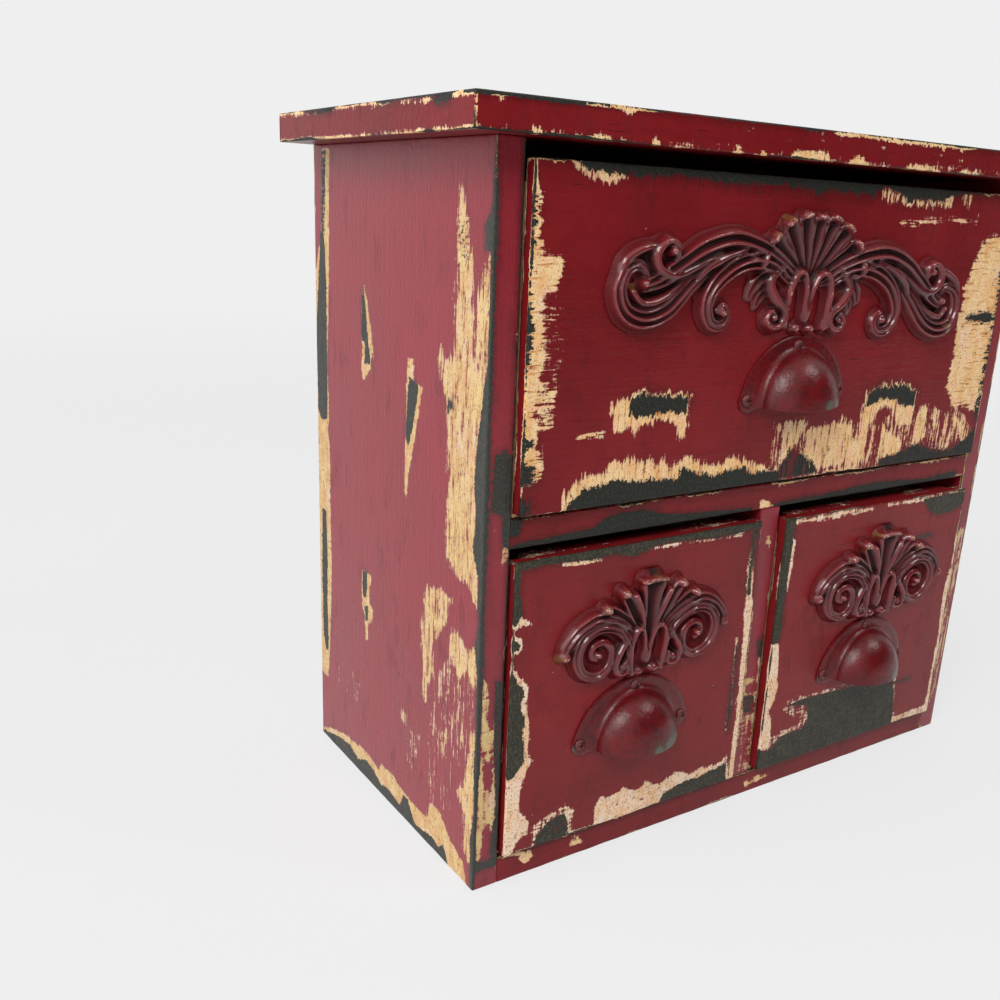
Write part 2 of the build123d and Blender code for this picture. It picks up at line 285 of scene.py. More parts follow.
def painted_board(node, body, material, seed, marks, arris_wear, pitch, tongue=None, butted=()):
    """One painted board in place of its CAD node. Marks are worn places: face, bared coat, direction of
    the sanding teeth, depth in millimetres, then the outline on that face, measured along the board
    from the case's front left corner. A negative depth leaves only flecks. A calm mark is a knock or
    a rubbed edge, whose border has no teeth. A tongue is how far a front's back half is set in at its
    ends and how thick its front half is, where the drawer's sides are let in behind it. Butted ends,
    as axis and 0 or 1, lie against another board, so the paint on their arrises is not worn."""
    low, high = (np.array(c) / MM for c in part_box(node))
    slabs = [(low, high, pitch)]
    if tongue:
        inset, thick = tongue
        slabs = [(low, high - (0, high[1] - low[1] - thick, 0), pitch),
                 (low + (inset, thick - 1, 0), high - (inset, 0, 0), coarse_pitch)]
    points, quads, flat, gaps = [], [], [], []
    for slab_low, slab_high, slab_pitch in slabs:
        some, loops, square = board_grid(slab_low, slab_high, board_arris, slab_pitch, seed)
        quads += [[i + sum(map(len, points)) for i in loop] for loop in loops]
        points.append(some)
        flat.append(square)
        gaps.append(np.stack([square - slab_low, slab_high - square], axis=2))
    points, flat, gaps = (np.concatenate(stack) for stack in (points, flat, gaps))
    cream = np.full(len(points), -9.0)
    black = np.full(len(points), -9.0)
    across = np.zeros(len(points))
    # arrises: how near the two faces that meet there, worn in stretches
    drift = wandering(flat, 24.0, seed + 3.1) * 1.6 + wandering(flat, 7.0, seed + 5.7) * 0.8
    for first, second in ((0, 1), (0, 2), (1, 2)):
        for a in (0, 1):
            for b in (0, 1):
                if (first, a) in butted or (second, b) in butted:
                    continue
                near = np.hypot(gaps[:, first, a], gaps[:, second, b])
                cream = np.maximum(cream, arris_gain * (arris_wear[0] + drift * 1.1 - near))
                black = np.maximum(black, arris_gain * (arris_wear[1] + drift * 0.9 - near * 1.2))
    for face, bared_coat, teeth, depth, outline in marks:
        axis, end, u, v = FACES[face]
        plane = (low, high)[end][axis]
        on_face = np.abs(points[:, axis] - plane) < 1.4
        spots = (flat[on_face] - case_corner_mm)[:, [u, v]]
        inside = depth_inside(spots, outline)
        found = np.minimum(inside, depth) * (calm_gain if teeth == "calm" else 1)
        field = cream if bared_coat == "cream" else black
        better = found > field[on_face]
        field[on_face] = np.where(better, found, field[on_face])
        if teeth != "upright":
            reach = np.clip(1 + inside / tooth_fade, 0, 1) * (1 if teeth == "level" else 0.5)
            across[on_face] = np.maximum(across[on_face], reach)
    piece = new_piece(f"{node}_painted", points, quads,
                      {"cream": cream, "black": black, "across": across}, material)
    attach(piece, body)
    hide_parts(node)
    return piece


# The brush went up the side panels and along the fronts, so its furrows run those ways.
red_upright = worn_paint("satin_red_paint_brushed_upright", ("#7C1824", "#932230"),
                         ("#CDA064", "#D8BA80", "#D6B294", "#B98448", "#DCC2B4"),
                         ("#23241F", "#45443A"), (1.6, 1.6, 60), 0.36, 0.5)
red_level = worn_paint("satin_red_paint_brushed_level", ("#600B10", "#8C1D23"),
                       ("#EFBE80", "#F4D29E", "#F2BC9A", "#D89A60", "#F2D4C4"),
                       ("#1F211D", "#3E3F38"), (60, 8, 2.4), 0.38, 0.22)
red_lower = worn_paint("satin_red_paint_on_lower_fronts", ("#660F13", "#8E2226"),
                       ("#EFC69C", "#F3D9BE", "#F3CDC0", "#DDA880", "#F5E2DA"),
                       ("#2B2B24", "#57523E"), (60, 8, 2.4), 0.38, 0.25)

left_panel_marks = (
    ("left", "cream", "upright", 1.0, (
        (22, 285), (25, 283), (25, 212), (12, 212), (13, 255), (18, 272))),
    ("left", "cream", "upright", 1.5, (
        (4, 218), (14, 222), (25, 222), (33, 218), (34, 210), (30, 204), (29, 188), (27, 170), (29, 150),
        (28, 142), (20, 135), (12, 136), (4, 128), (3, 150), (8, 172), (6, 190), (3, 206))),
    ("left", "cream", "upright", 0.9, (
        (0, 262), (5, 258), (9, 250), (10, 230), (9, 222), (3, 216), (0, 225))),
    ("left", "cream", "upright", 1.2, (
        (3, 112), (10, 106), (20, 112), (24, 108), (22, 98), (16, 92), (10, 98), (4, 92), (1, 98))),
    ("left", "cream", "upright", 1.1, (
        (24, 124), (33, 126), (45, 122), (48, 104), (47, 86), (46, 70), (43, 70), (42, 80),
        (37, 84), (39, 98), (34, 104), (28, 112))),
    ("left", "cream", "upright", -1.1, ((4, 98), (24, 96), (38, 80), (38, 52), (20, 50), (6, 60))),
    ("left", "cream", "upright", -1.7, ((22, 50), (62, 48), (60, 34), (30, 22), (20, 30))),
    ("left", "cream", "upright", -1.7, ((112, 50), (140, 52), (142, 40), (116, 40))),
    ("left", "cream", "upright", 1.4, (
        (0, 76), (5, 72), (8, 52), (10, 45), (15, 40), (8, 34), (9, 18), (4, 12), (0, 12))),
    ("left", "cream", "calm", 1.4, (
        (4, -2), (8, 9), (20, 14), (30, 23), (38, 22), (41, 13), (60, 13), (76, 17), (88, 16),
        (91, 12), (104, 15), (132, 12), (146, 8), (161, 3), (161, -2))),
    ("left", "cream", "calm", 4.0, (
        (142, 298), (150, 298), (152, 262), (157, 250), (161, 240), (161, 36), (151, 36), (148, 60),
        (145, 100), (146, 130), (145, 150), (147, 170), (145, 178), (147, 200), (144, 240))),
    ("left", "cream", "calm", 4.0, (
        (106, 241), (108, 236), (108, 201), (105, 201), (99, 207), (97, 214), (98, 222), (103, 236))),
    ("left", "cream", "calm", 4.0, (
        (59, 216), (64, 216), (65, 190), (66, 158), (64, 158), (61, 172), (56, 186), (53, 198),
        (50, 206), (58, 207))),
    ("left", "cream", "calm", 3.0, (
        (99, 110), (109, 110), (109, 92), (106, 88), (105, 75), (103, 76), (103, 84), (98, 86),
        (97, 94), (101, 96))),
    ("left", "cream", "upright", 1.0, ((63, 54), (67, 54), (67, 51), (64, 50))),
    ("left", "cream", "upright", 0.2, ((33, 212), (35, 224), (38, 219), (36, 212))),
    ("left", "black", "calm", 3.0, (
        (-1, 300), (1, 276), (6, 270), (5, 262), (1, 262), (1, 222), (3, 214), (7, 190), (8, 178),
        (6, 165), (8, 150), (3, 140), (2, 120), (4, 110), (1, 96), (1, 80), (2, 60), (1, 40),
        (3, 24), (2, 0), (-1, 0))),
    ("left", "black", "calm", 3.0, (
        (149, 262), (153, 262), (157, 235), (160, 215), (159, 178), (155, 173), (148, 175),
        (147, 200), (147, 240))),
    ("left", "black", "calm", 0.4, ((146, 297), (150, 297), (152, 262), (148, 262))),
    ("left", "black", "calm", 1.2, (
        (151, 128), (156, 128), (157, 95), (157, 60), (154, 52), (150, 52), (151, 80), (150, 105))),
    ("left", "black", "calm", 3.0, (
        (106, 241), (108, 236), (108, 218), (105, 217), (105, 208), (99, 208), (101, 216), (104, 232))),
    ("left", "black", "calm", 3.0, ((54, 206), (62, 209), (64, 198), (65, 184), (63, 178), (58, 190))),
    ("left", "black", "calm", 1.0, ((103, 110), (108, 110), (108, 97), (104, 97))),
    ("left", "black", "calm", 0.8, ((102, 94), (106, 92), (105, 85), (103, 86))),
    ("left", "black", "calm", 1.2, (
        (20, -1), (26, 8), (30, 4), (36, 6), (52, 3), (60, 12), (64, 12), (68, 5), (80, 7), (88, 5),
        (96, 9), (106, 10), (114, 6), (124, 9), (136, 8), (150, 4), (161, 2), (161, -1))),
    ("left", "black", "calm", -0.5, ((18, 272), (23, 272), (24, 256), (18, 256))),
    ("left", "black", "upright", 1.5, ((25, 205), (29, 205), (29, 201), (25, 201))),
    ("front", "black", "calm", 1.0, (
        (4, 189), (8, 190), (13, 186), (13, 150), (9, 152), (8, 164), (3, 168))),
    ("front", "black", "calm", 0.6, (
        (-1, 300), (1.6, 280), (1, 200), (2, 165), (1.6, 120), (2, 60), (-1, 30))),
    ("front", "black", "calm", 0.5, ((11, 300), (13, 300), (13, 90), (11, 92), (11.6, 200))),
    ("front", "cream", "calm", 0.5, ((9, 163), (11, 163), (11.6, 148), (9, 144))),
    ("front", "cream", "calm", 0.5, ((2, 98), (4, 96), (5, 62), (3, 58), (5, 34), (3, 14), (1, 14))),
    ("front", "cream", "calm", 0.6, ((4, 47), (8, 45), (8, 31), (5, 29))),
    ("front", "cream", "calm", 0.5, ((4, 76), (8, 74), (7, 60), (4, 61))),
    ("front", "black", "calm", 0.7, ((8, 96), (13, 94), (13, 12), (8, 14), (10, 40), (8, 66))),
    ("front", "cream", "calm", 0.25, ((8, 88), (10, 84), (11, 30), (8, 26))),
    ("front", "black", "calm", 0.5, ((0, 14), (13, 13), (13, 9), (0, 9))),
)
painted_board("left_side_panel", "case", red_upright, 1.0, left_panel_marks, (0.3, 0.1), fine_pitch,
              butted=((2, 1),))
right_panel_marks = (
    ("right", "cream", "upright", 1.6, (
        (0, 272), (12, 262), (14, 214), (8, 180), (20, 150), (16, 118), (6, 100), (0, 96))),
    ("right", "cream", "upright", 3.0, (
        (-1, -1), (-1, 10), (30, 9), (52, 15), (90, 8), (128, 12), (161, 6), (161, -1))),
    ("right", "cream", "level", 2.4, (
        (161, 250), (150, 240), (148, 180), (152, 120), (149, 70), (161, 60))),
    ("right", "cream", "level", 2.0, ((58, 196), (66, 200), (68, 168), (62, 150), (57, 172))),
    ("right", "black", "level", 2.0, ((60, 194), (65, 196), (66, 172), (61, 160))),
    ("right", "black", "level", 2.0, ((161, 240), (154, 232), (153, 150), (156, 90), (161, 80))),
    ("right", "black", "upright", 2.0, ((0, 200), (4, 190), (3, 120), (0, 110))),
    ("front", "cream", "upright", 0.2, ((299, 200), (303, 196), (303, 166), (300, 160))),
    ("front", "cream", "upright", -0.4, ((299, 120), (312, 118), (312, 20), (300, 14))),
)
painted_board("right_side_panel", "case", red_upright, 2.0, right_panel_marks, (0.4, 0.1), 2.0,
              butted=((2, 1),))

bottom_marks = (
    ("front", "cream", "calm", 1.0, ((23, 11), (29, 10), (31, 6), (26, 5), (24, 7))),
    ("front", "cream", "calm", 0.8, ((50, 8), (55, 9), (58, 5), (51, 5))),
    ("front", "cream", "calm", 0.4, ((158, 6), (168, 8), (176, 5), (160, 3))),
    ("front", "black", "calm", 0.3, ((12, 13), (22, 12), (300, 11.4), (300, 13), (12, 13.5))),
)
painted_board("bottom_board", "case", red_level, 3.0, bottom_marks, (0.1, 0.0), 2.0,
              butted=((0, 0), (0, 1)))

shelf_marks = (
    ("front", "black", "calm", 1.6, (
        (10, 152.4), (30, 153), (52, 154.4), (62, 158.6), (78, 158.8), (92, 155), (120, 153), (142, 152),
        (142, 149), (10, 149))),
    ("front", "black", "calm", 1.2, (
        (156, 152.4), (200, 153.4), (226, 155), (262, 153), (292, 154), (292, 149), (156, 149))),
    ("front", "cream", "calm", 1.0, ((152, 164), (154, 161.5), (162, 160), (168, 161.5), (180, 164))),
    ("front", "cream", "calm", 0.8, ((250, 164), (262, 161.5), (280, 161), (292, 164))),
    ("front", "cream", "calm", 0.6, ((147, 154.5), (156, 153), (156, 151), (147, 151))),
    ("front", "black", "calm", 0.8, ((10, 164), (18, 163), (16, 156), (10, 155))),
)
painted_board("shelf_board", "case", red_level, 4.0, shelf_marks, (0.3, 0.2), 1.6,
              butted=((0, 0), (0, 1)))

divider_marks = (
    *(("front", "cream", "calm", 0.9, ((145.6, z), (147.4, z + 0.6), (147.2, z + 2.6), (145.6, z + 2)))
      for z in (104, 99, 94.4, 89, 82, 77.4, 73)),
    ("front", "cream", "calm", 0.4, ((148, 101), (150.5, 99), (151, 60), (150.5, 24), (148, 20))),
    ("front", "cream", "calm", 1.0, ((148, 66), (156, 64.5), (157, 62), (149, 61.5))),
    ("front", "cream", "calm", 0.5, ((153, 137), (156, 136), (157, 132), (154, 133))),
    ("front", "cream", "calm", -0.3, ((153, 56), (160, 56), (160, 14), (152, 14))),
    ("front", "black", "calm", 0.4, ((156, 84), (161, 86), (161, 76), (157, 76))),
    ("front", "black", "calm", 0.3, ((151, 56), (158, 54), (158, 46), (152, 46))),
    ("front", "black", "calm", 0.3, ((147, 118), (149, 118), (149, 100), (147, 100))),
)
painted_board("centre_divider", "case", red_upright, 5.0, divider_marks, (0.4, 0.2), 1.6,
              butted=((2, 0), (2, 1)))

# ---------------------------------------------------------------------------------------------
# Top board. The same pine, let over the case and pinned from above; its front and end arrises are
# the ones that hands and cloths reach, so they are worn to cream with black in the corners.
top_marks = (
    *(("front", "cream", "calm", 1.0, ((x, 299), (x + 0.6, z), (x + 3.4, z - 0.4), (x + 4.4, 299)))
      for x, z in ((6, 302.4), (31, 301.6), (36, 302), (58, 302.6), (98, 303), (112, 301.8), (270, 303.6))),
    *(("front", "cream", "calm", 0.4, ((x, z), (x + 3, z + 1.6), (x + 3.6, z + 1.2), (x + 0.6, z - 0.6)))
      for x, z in ((-8, 309), (44, 308.6), (104, 308), (181, 307), (221, 308.4), (236, 305.6), (283, 307))),
    ("front", "cream", "calm", -0.55, (
        (-17, 301.4), (40, 301.2), (90, 302), (128, 301.4), (200, 301.6), (262, 302.6), (328, 301),
        (328, 298), (-17, 298))),
    ("front", "cream", "calm", 0.5, ((126, 299), (130, 303), (150, 303.6), (154, 299))),
    ("front", "cream", "calm", 0.5, ((162, 299), (166, 303.6), (172, 303), (176, 299))),
    ("front", "cream", "calm", 0.3, ((196, 299), (204, 302), (214, 302.6), (222, 300.6), (224, 299))),
    ("front", "cream", "calm", 0.3, ((236, 299), (240, 302.4), (250, 302), (254, 299))),
    ("front", "cream", "calm", -1.1, ((120, 309), (170, 308), (240, 309.5), (240, 306), (120, 306))),
    ("front", "black", "calm", 0.2, ((-17, 313), (328, 313), (328, 311.4), (150, 311.6), (-17, 311.2))),
    ("left", "cream", "calm", 0.1, (
        (-13, 313), (-13, 310.2), (8, 310.8), (20, 309.4), (44, 310.6), (66, 310), (96, 310.8),
        (130, 310), (161, 310.6), (161, 313))),
    ("left", "cream", "calm", 0.3, ((-13, 313), (-13, 299), (-11.6, 299), (-11.8, 306), (-11, 313))),
    ("left", "black", "calm", 0.5, ((0, 313), (4, 309), (12, 308), (18, 311), (60, 311), (60, 313))),
    ("left", "black", "calm", 0.4, ((92, 313), (104, 309.6), (124, 310.4), (140, 313))),
    ("left", "cream", "calm", 0.2, ((-13, 301), (60, 300.6), (161, 301), (161, 299), (-13, 299))),
    ("top", "cream", "calm", 2.4, ((-17, -13), (60, -13), (52, -7), (20, -9), (2, -3), (-6, 6), (-17, 4))),
    ("top", "cream", "calm", 2.0, ((150, -13), (250, -13), (236, -8), (206, -9.5), (180, -5), (160, -9))),
    ("top", "cream", "calm", 1.6, ((328, 60), (318, 66), (316, 110), (322, 140), (328, 144))),
    ("top", "cream", "calm", 1.4, ((96, 52), (120, 58), (150, 54), (146, 48), (118, 46))),
    ("top", "black", "calm", 0.6, ((100, 54), (120, 56), (142, 53), (120, 49))),
    ("top", "cream", "calm", -1.9, ((0, 0), (310, 0), (310, 150), (0, 150))),
    ("top", "black", "calm", 0.8, ((-17, -13), (30, -13), (24, -10), (-6, -8), (-17, -4))),
)
painted_board("top_board", "case", red_level, 6.0, top_marks, (-0.35, 0.2), 1.6)

# ---------------------------------------------------------------------------------------------
# Drawer fronts. Pine boards inset in the case and standing a few millimetres proud, with the same
# three coats, worn hardest where the drawers rub and where fingers meet them.
rebated_end = (8, 6)
top_front_marks = (
    ("front", "cream", "level", 3.4, (
        (12, 285), (16, 282), (17, 270), (18, 262), (27, 260.5), (26, 252), (24, 249), (20, 247),
        (20, 235), (21, 222), (19, 215), (18, 205), (20, 190), (23, 181), (20, 177), (12, 177))),
    ("front", "cream", "level", -1.2, ((18, 242), (29, 241), (28, 222), (24, 214), (20, 212))),
    ("front", "cream", "level", 0.0, ((18, 214), (27, 213), (26, 199), (19, 197))),
    ("front", "cream", "upright", 0.5, ((30, 292.5), (50, 291), (54, 288.6), (40, 288))),
    ("front", "cream", "upright", 3.0, (
        (55, 206), (62, 207.4), (70, 209), (80, 208.6), (95, 206.5), (94.5, 196), (94, 189), (91, 189),
        (89, 195), (80, 197), (72, 196), (68, 193.6), (63, 195), (58, 194), (55, 196), (54, 201))),
    ("front", "cream", "level", 0.5, ((38, 195.6), (44, 194.4), (51, 193.6), (51, 192.4), (39, 193.4))),
    ("front", "cream", "upright", 3.0, (
        (33, 170), (36, 174), (40, 177), (50, 178), (58, 182), (70, 182), (82, 180), (90, 177),
        (96, 181), (106, 177), (112, 175), (120, 178), (128, 177), (140, 174), (147, 169), (148, 163),
        (33, 163))),
    ("front", "cream", "upright", -0.5, (
        (148, 190), (165, 189), (180, 186), (190, 190), (205, 186), (214, 184), (228, 190), (244, 186),
        (256, 190), (270, 187), (280, 188), (291, 178), (291, 165), (148, 165))),
    ("front", "cream", "upright", 1.6, ((167, 187), (188, 189), (200, 186), (204, 168), (168, 167))),
    ("front", "cream", "upright", 1.4, ((152, 190), (165, 191), (166, 184), (158, 176), (152, 172))),
    ("front", "cream", "upright", 2.0, (
        (205, 201), (212, 204), (224, 204.6), (236, 203.4), (243, 200), (243, 184), (231, 184),
        (226, 192), (220, 194), (213, 192), (211, 182), (210, 168), (203, 168))),
    ("front", "cream", "upright", 2.4, ((221, 185), (226, 181), (237, 176), (237, 168), (221, 168))),
    ("front", "cream", "upright", 2.0, ((246, 180), (248, 193), (253, 191), (255, 176), (247, 174))),
    ("front", "cream", "upright", 0.6, ((272, 190), (280, 184), (290, 176), (289, 170), (280, 176))),
    ("front", "cream", "level", 4.0, (
        (298, 275), (282, 273.5), (276, 270), (274, 263), (271, 260), (270, 254), (267, 252),
        (268, 240), (266, 235), (267, 222), (268, 212), (267, 205), (265, 199.6), (271, 197),
        (272, 191), (290, 189), (298, 186))),
    ("front", "cream", "upright", 0.6, ((210, 291), (214, 286.4), (228, 285.6), (246, 286.4), (247, 291))),
    ("front", "cream", "upright", 0.2, ((197, 293), (208, 293), (209, 288), (204, 287), (197, 288))),
    ("front", "cream", "upright", 0.0, ((256, 292), (262, 292), (260, 286), (257, 286))),
    ("front", "cream", "level", 0.15, (
        (210, 278.6), (222, 278), (232, 280.2), (268, 280.8), (268, 280.2), (232, 279.4), (222, 277.2))),
    ("front", "black", "upright", 3.0, (
        (28, 296), (35, 291.4), (60, 289.6), (80, 291), (100, 290), (150, 290), (158, 287.4),
        (165, 289.4), (190, 288.6), (198, 292.4), (208, 291), (215, 288), (240, 288), (247, 291.4),
        (262, 293), (298, 294), (298, 297), (28, 297))),
    ("front", "black", "level", 1.2, (
        (12, 285), (14.6, 281), (14, 262), (13, 250), (14, 244), (15.6, 236), (15, 224), (13, 218),
        (12, 205))),
    ("front", "black", "level", 1.0, ((12, 193.4), (18, 193), (18.6, 191), (12, 190.4))),
    ("front", "black", "level", 1.4, ((12, 187), (17, 184.6), (20.6, 180.6), (18, 177), (12, 176.6))),
    ("front", "black", "upright", 2.0, ((12, 173), (15, 172), (17.6, 168), (16, 164), (12, 164))),
    ("front", "black", "upright", 3.0, (
        (63, 206.4), (72, 208.4), (94, 205.6), (93, 199.6), (84, 200), (72, 199), (63, 201))),
    ("front", "black", "upright", 3.0, (
        (33, 163), (36, 168), (42, 172), (60, 174.6), (70, 173), (92, 172), (94, 176), (104, 173),
        (112, 171), (118, 172), (130, 173.4), (136, 170), (146, 169.4), (153, 168), (153, 163))),
    ("front", "black", "upright", 2.4, (
        (206, 201), (212, 203.4), (224, 204), (235, 203), (242, 200), (242, 193.6), (236, 192.4),
        (228, 196.4), (218, 198), (210, 195.4), (205.6, 194.6))),
    ("front", "black", "level", 2.0, (
        (272, 236), (282, 237), (294, 237.6), (294, 232), (280, 232), (274, 233.4))),
    ("front", "black", "upright", 1.6, (
        (222, 168), (240, 171), (250, 172.6), (258, 171), (262, 168.4), (276, 168), (288, 171.6),
        (298, 178), (298, 163), (222, 163))),
    ("front", "black", "upright", 0.4, ((158, 179), (167, 174), (174, 171), (178, 166), (150, 166))),
    ("front", "black", "level", 0.2, ((294.6, 268), (298, 268), (298, 180), (294, 184))),
)
painted_board("top_drawer_front", "top_drawer", red_level, 7.0, top_front_marks, (0.5, 0.2), fine_pitch,
              rebated_end)

left_front_marks = (
    ("front", "black", "calm", 1.0, (
        (12, 147), (148, 147), (148, 142.8), (120, 141.6), (95, 143.2), (84, 143), (72, 139.8),
        (62, 142.6), (50, 141.6), (30, 143), (20, 142.6), (12, 142.4))),
    ("front", "black", "calm", 1.4, (
        (12, 145), (16.4, 142), (15.6, 132), (17.4, 124), (15, 119.4), (12, 120))),
    ("front", "black", "calm", 1.6, ((12, 113), (16.6, 112), (17, 109.4), (13, 107.6))),
    ("front", "black", "calm", 2.6, (
        (12, 97), (14, 99), (17, 94), (20, 90), (18.4, 82), (21, 78), (20, 70), (21.4, 64), (21.6, 58),
        (18, 53), (14, 50), (12, 52))),
    ("front", "black", "calm", 0.6, ((28, 13), (30, 20), (36, 25), (44, 26), (46.6, 20), (46, 13))),
    ("front", "black", "calm", 1.0, (
        (98, 13), (102, 19), (114, 21), (124, 21), (134, 22.4), (141, 24), (142, 13))),
    ("front", "black", "calm", 0.1, ((138.6, 86), (140.6, 84), (140, 40), (138, 44))),
    ("front", "black", "calm", 0.4, ((141, 148), (144.4, 148), (144, 108), (141.6, 112))),
    ("front", "cream", "calm", 3.0, (
        (12, 100), (13.4, 102), (18, 96.6), (21.4, 92), (21.6, 80), (24, 70), (23, 62), (25, 56),
        (22, 50), (20, 44), (20, 34), (25, 28), (25, 22), (20, 20), (16, 13), (12, 13))),
    ("front", "cream", "calm", 1.0, ((11.6, 114.6), (17.6, 113), (18.6, 108.6), (12, 106.4))),
    ("front", "cream", "calm", 0.5, (
        (12, 122), (16, 124), (18.4, 121.6), (22, 118.6), (15, 118.2), (12, 118.4))),
    ("front", "cream", "calm", 0.2, ((27, 13), (28, 24), (36, 28), (44, 30), (48.6, 26), (49, 13))),
    ("front", "cream", "calm", 3.4, (
        (61, 13), (61, 24), (64, 27.6), (70, 26), (76, 28.6), (84, 25), (90, 28.4), (98, 24), (108, 28),
        (118, 24), (124, 26), (134, 24), (141, 27), (144, 13))),
    ("front", "cream", "calm", 0.6, ((33, 143), (38, 140.8), (50, 139.8), (56, 141.6), (50, 143))),
    ("front", "cream", "calm", 0.3, (
        (60, 143), (98, 142.6), (120, 141.6), (144, 141.8), (144, 140.6), (98, 141.6))),
    ("front", "cream", "calm", 4.0, (
        (141.4, 136), (143, 136), (145, 118), (146, 106), (148, 105), (148, 13), (143.4, 13),
        (143.6, 80), (141.6, 104), (140.6, 124))),
    ("front", "cream", "calm", 0.2, ((137.6, 90), (139, 90), (140, 60), (138.6, 40), (137, 46), (139, 56))),
)
painted_board("lower_left_drawer_front", "lower_left_drawer", red_lower, 8.0, left_front_marks,
              (0.35, 0.3), fine_pitch, rebated_end)

right_front_marks = (
    ("front", "black", "calm", 1.8, (
        (262, 143), (280, 144), (299, 143), (297, 138), (290, 134), (276, 133), (268, 137))),
    ("front", "black", "calm", 1.4, (
        (161, 147), (167.4, 146), (167, 130), (166.4, 110), (166.6, 84), (161, 82))),
    ("front", "black", "calm", 2.4, (
        (161, 12), (161, 26), (168, 23), (176, 29), (184, 30), (191, 29), (195, 35), (193, 43), (178, 45.6),
        (188, 47), (210, 46), (240, 44.6), (259, 44), (263, 34), (265, 22), (266, 12))),
    ("front", "black", "calm", 0.6, ((262, 123.4), (272, 123.4), (275, 122), (264, 121))),
    ("front", "black", "calm", 0.2, ((250, 40), (276, 40), (276, 38.6), (250, 39))),
    ("front", "cream", "calm", 1.6, (
        (161, 83), (166, 81), (169, 60), (168.6, 52), (165.6, 46), (168.6, 36), (167.6, 25), (161, 24))),
    ("front", "cream", "calm", 0.4, ((166.4, 136), (168.4, 134), (168.6, 120), (167.2, 108), (166, 112))),
    ("front", "cream", "calm", 0.4, (
        (163, 143.6), (200, 144.2), (224, 143.6), (224, 142), (196, 141.6), (164, 142.4))),
    ("front", "cream", "calm", 0.3, (
        (232, 144), (262, 144), (298, 144.2), (298, 143), (262, 142.4), (234, 142.8))),
    ("front", "cream", "calm", 1.6, (
        (295, 120), (299, 120), (299, 13), (294.4, 18), (295.4, 60), (293.6, 88), (296.6, 110))),
    ("front", "cream", "calm", 0.6, ((264, 18), (299, 18), (299, 12), (264, 12))),
    ("front", "cream", "calm", -0.2, (
        (161, 28), (176, 32), (192, 33), (176, 44), (176, 48.4), (210, 48), (262, 46), (266, 22), (268, 12),
        (161, 12))),
)
painted_board("lower_right_drawer_front", "lower_right_drawer", red_lower, 9.0, right_front_marks,
              (0.35, 0.3), fine_pitch, rebated_end)

# ---------------------------------------------------------------------------------------------
# Drawer boxes. Planed, unpainted pine sides and backs, and thin birch plywood for the drawer
# bottoms and the case's back. Bare wood shows its grain along each piece and stays matt.


def bare_wood(name, pale, brown, grain_mm, gloss):
    """Planed wood: early and late growth as pale and brown bands, 2 to 3 mm apart, along the grain."""
    material, tree, place = new_material(name)
    bands = stretched_noise(tree, place, grain_mm, 4.0, 0.5)
    fibres = stretched_noise(tree, place, tuple(size / 4 for size in grain_mm), 3.0, 0.6)
    colour = coat(tree, pale, patches(tree, 0.38, 0.66, bands), brown)
    colour = coat(tree, colour, patches(tree, 0.55, 0.8, fibres), "#8A6238", 0.3)
    roughness = total(tree, swing(tree, bands, 0.2), gloss)
    relief = total(tree, swing(tree, fibres, 0.0002), swing(tree, bands, 0.0001))
    finish_surface(tree, colour, roughness, relief)
    return material


pine_along_depth = bare_wood("planed_pine_along_depth", "#DCBE90", "#CDA671", (2.6, 80, 2.6), 0.6)
pine_along_width = bare_wood("planed_pine_along_width", "#DCBE90", "#CDA671", (80, 2.6, 2.6), 0.6)
ply_upright = bare_wood("birch_plywood_grain_upright", "#D6BC93", "#C7A577", (8, 8, 150), 0.65)
ply_lengthwise = bare_wood("birch_plywood_grain_lengthwise", "#D8BF98", "#CBAB7E", (8, 150, 8), 0.65)


def dress(nodes, material):
    """Give CAD nodes a finish in all their slots."""
    for node in nodes:
        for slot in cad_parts[node].material_slots:
            slot.material = material


drawers = ("top_drawer", "lower_left_drawer", "lower_right_drawer")
dress([f"{drawer}_{side}_side" for drawer in drawers for side in ("left", "right")], pine_along_depth)
dress([f"{drawer}_back" for drawer in drawers], pine_along_width)
dress([f"{drawer}_bottom" for drawer in drawers], ply_lengthwise)
dress(["back_panel"], ply_upright)

# ---------------------------------------------------------------------------------------------
# Brads and tacks. Drawn mild-steel wire with a flat head, dulled grey, set just under the surface.


def steel_wire():
    """Mild steel wire: dark grey, drawn lengthwise, with a little tarnish."""
    material, tree, place = new_material("drawn_steel_wire")
    tarnish = stretched_noise(tree, place, (1.0, 1.0, 1.0))
    colour = coat(tree, "#6E6C68", tarnish, "#4A423C")
    roughness = total(tree, swing(tree, tarnish, 0.3), 0.45)
    finish_surface(tree, colour, roughness, swing(tree, tarnish, 0.00003), Metallic=1.0)
    return material


wire = steel_wire()
dress([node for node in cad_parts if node.endswith(("_brads", "_tacks"))], wire)

# ---------------------------------------------------------------------------------------------
# Ornaments. Cast composition, pressed in a carved mould and glued on: a shell with leafy scrolls on
# the wide drawer, a palmette with volutes on the small ones. Dark red paint pools in the hollows, and
# their shade is painted in as well, near black; handling has rubbed the tips back to an olive-gold.
cast_pitch = 0.42
# the thin ledge that the mould leaves round and between the members, the depth the cast's back is let
# in, and the height at which a member stands out from the ground
cast_ledge = 1.5
cast_let_in = 0.8
carved_from = 0.3


def smooth_route(points):
    """Points along a smooth curve through the given ones, 14 to a span."""
    p = np.array([points[0], *points, points[-1]], float)
    t = np.linspace(0, 1, 14, endpoint=False)[:, None]
    runs = [
        0.5 * (2 * b + (c - a) * t + (2 * a - 5 * b + 4 * c - d) * t**2 + (3 * b - a - 3 * c + d) * t**3)
        for a, b, c, d in zip(p, p[1:], p[2:], p[3:])
    ]
    return np.vstack([*runs, p[-1]])


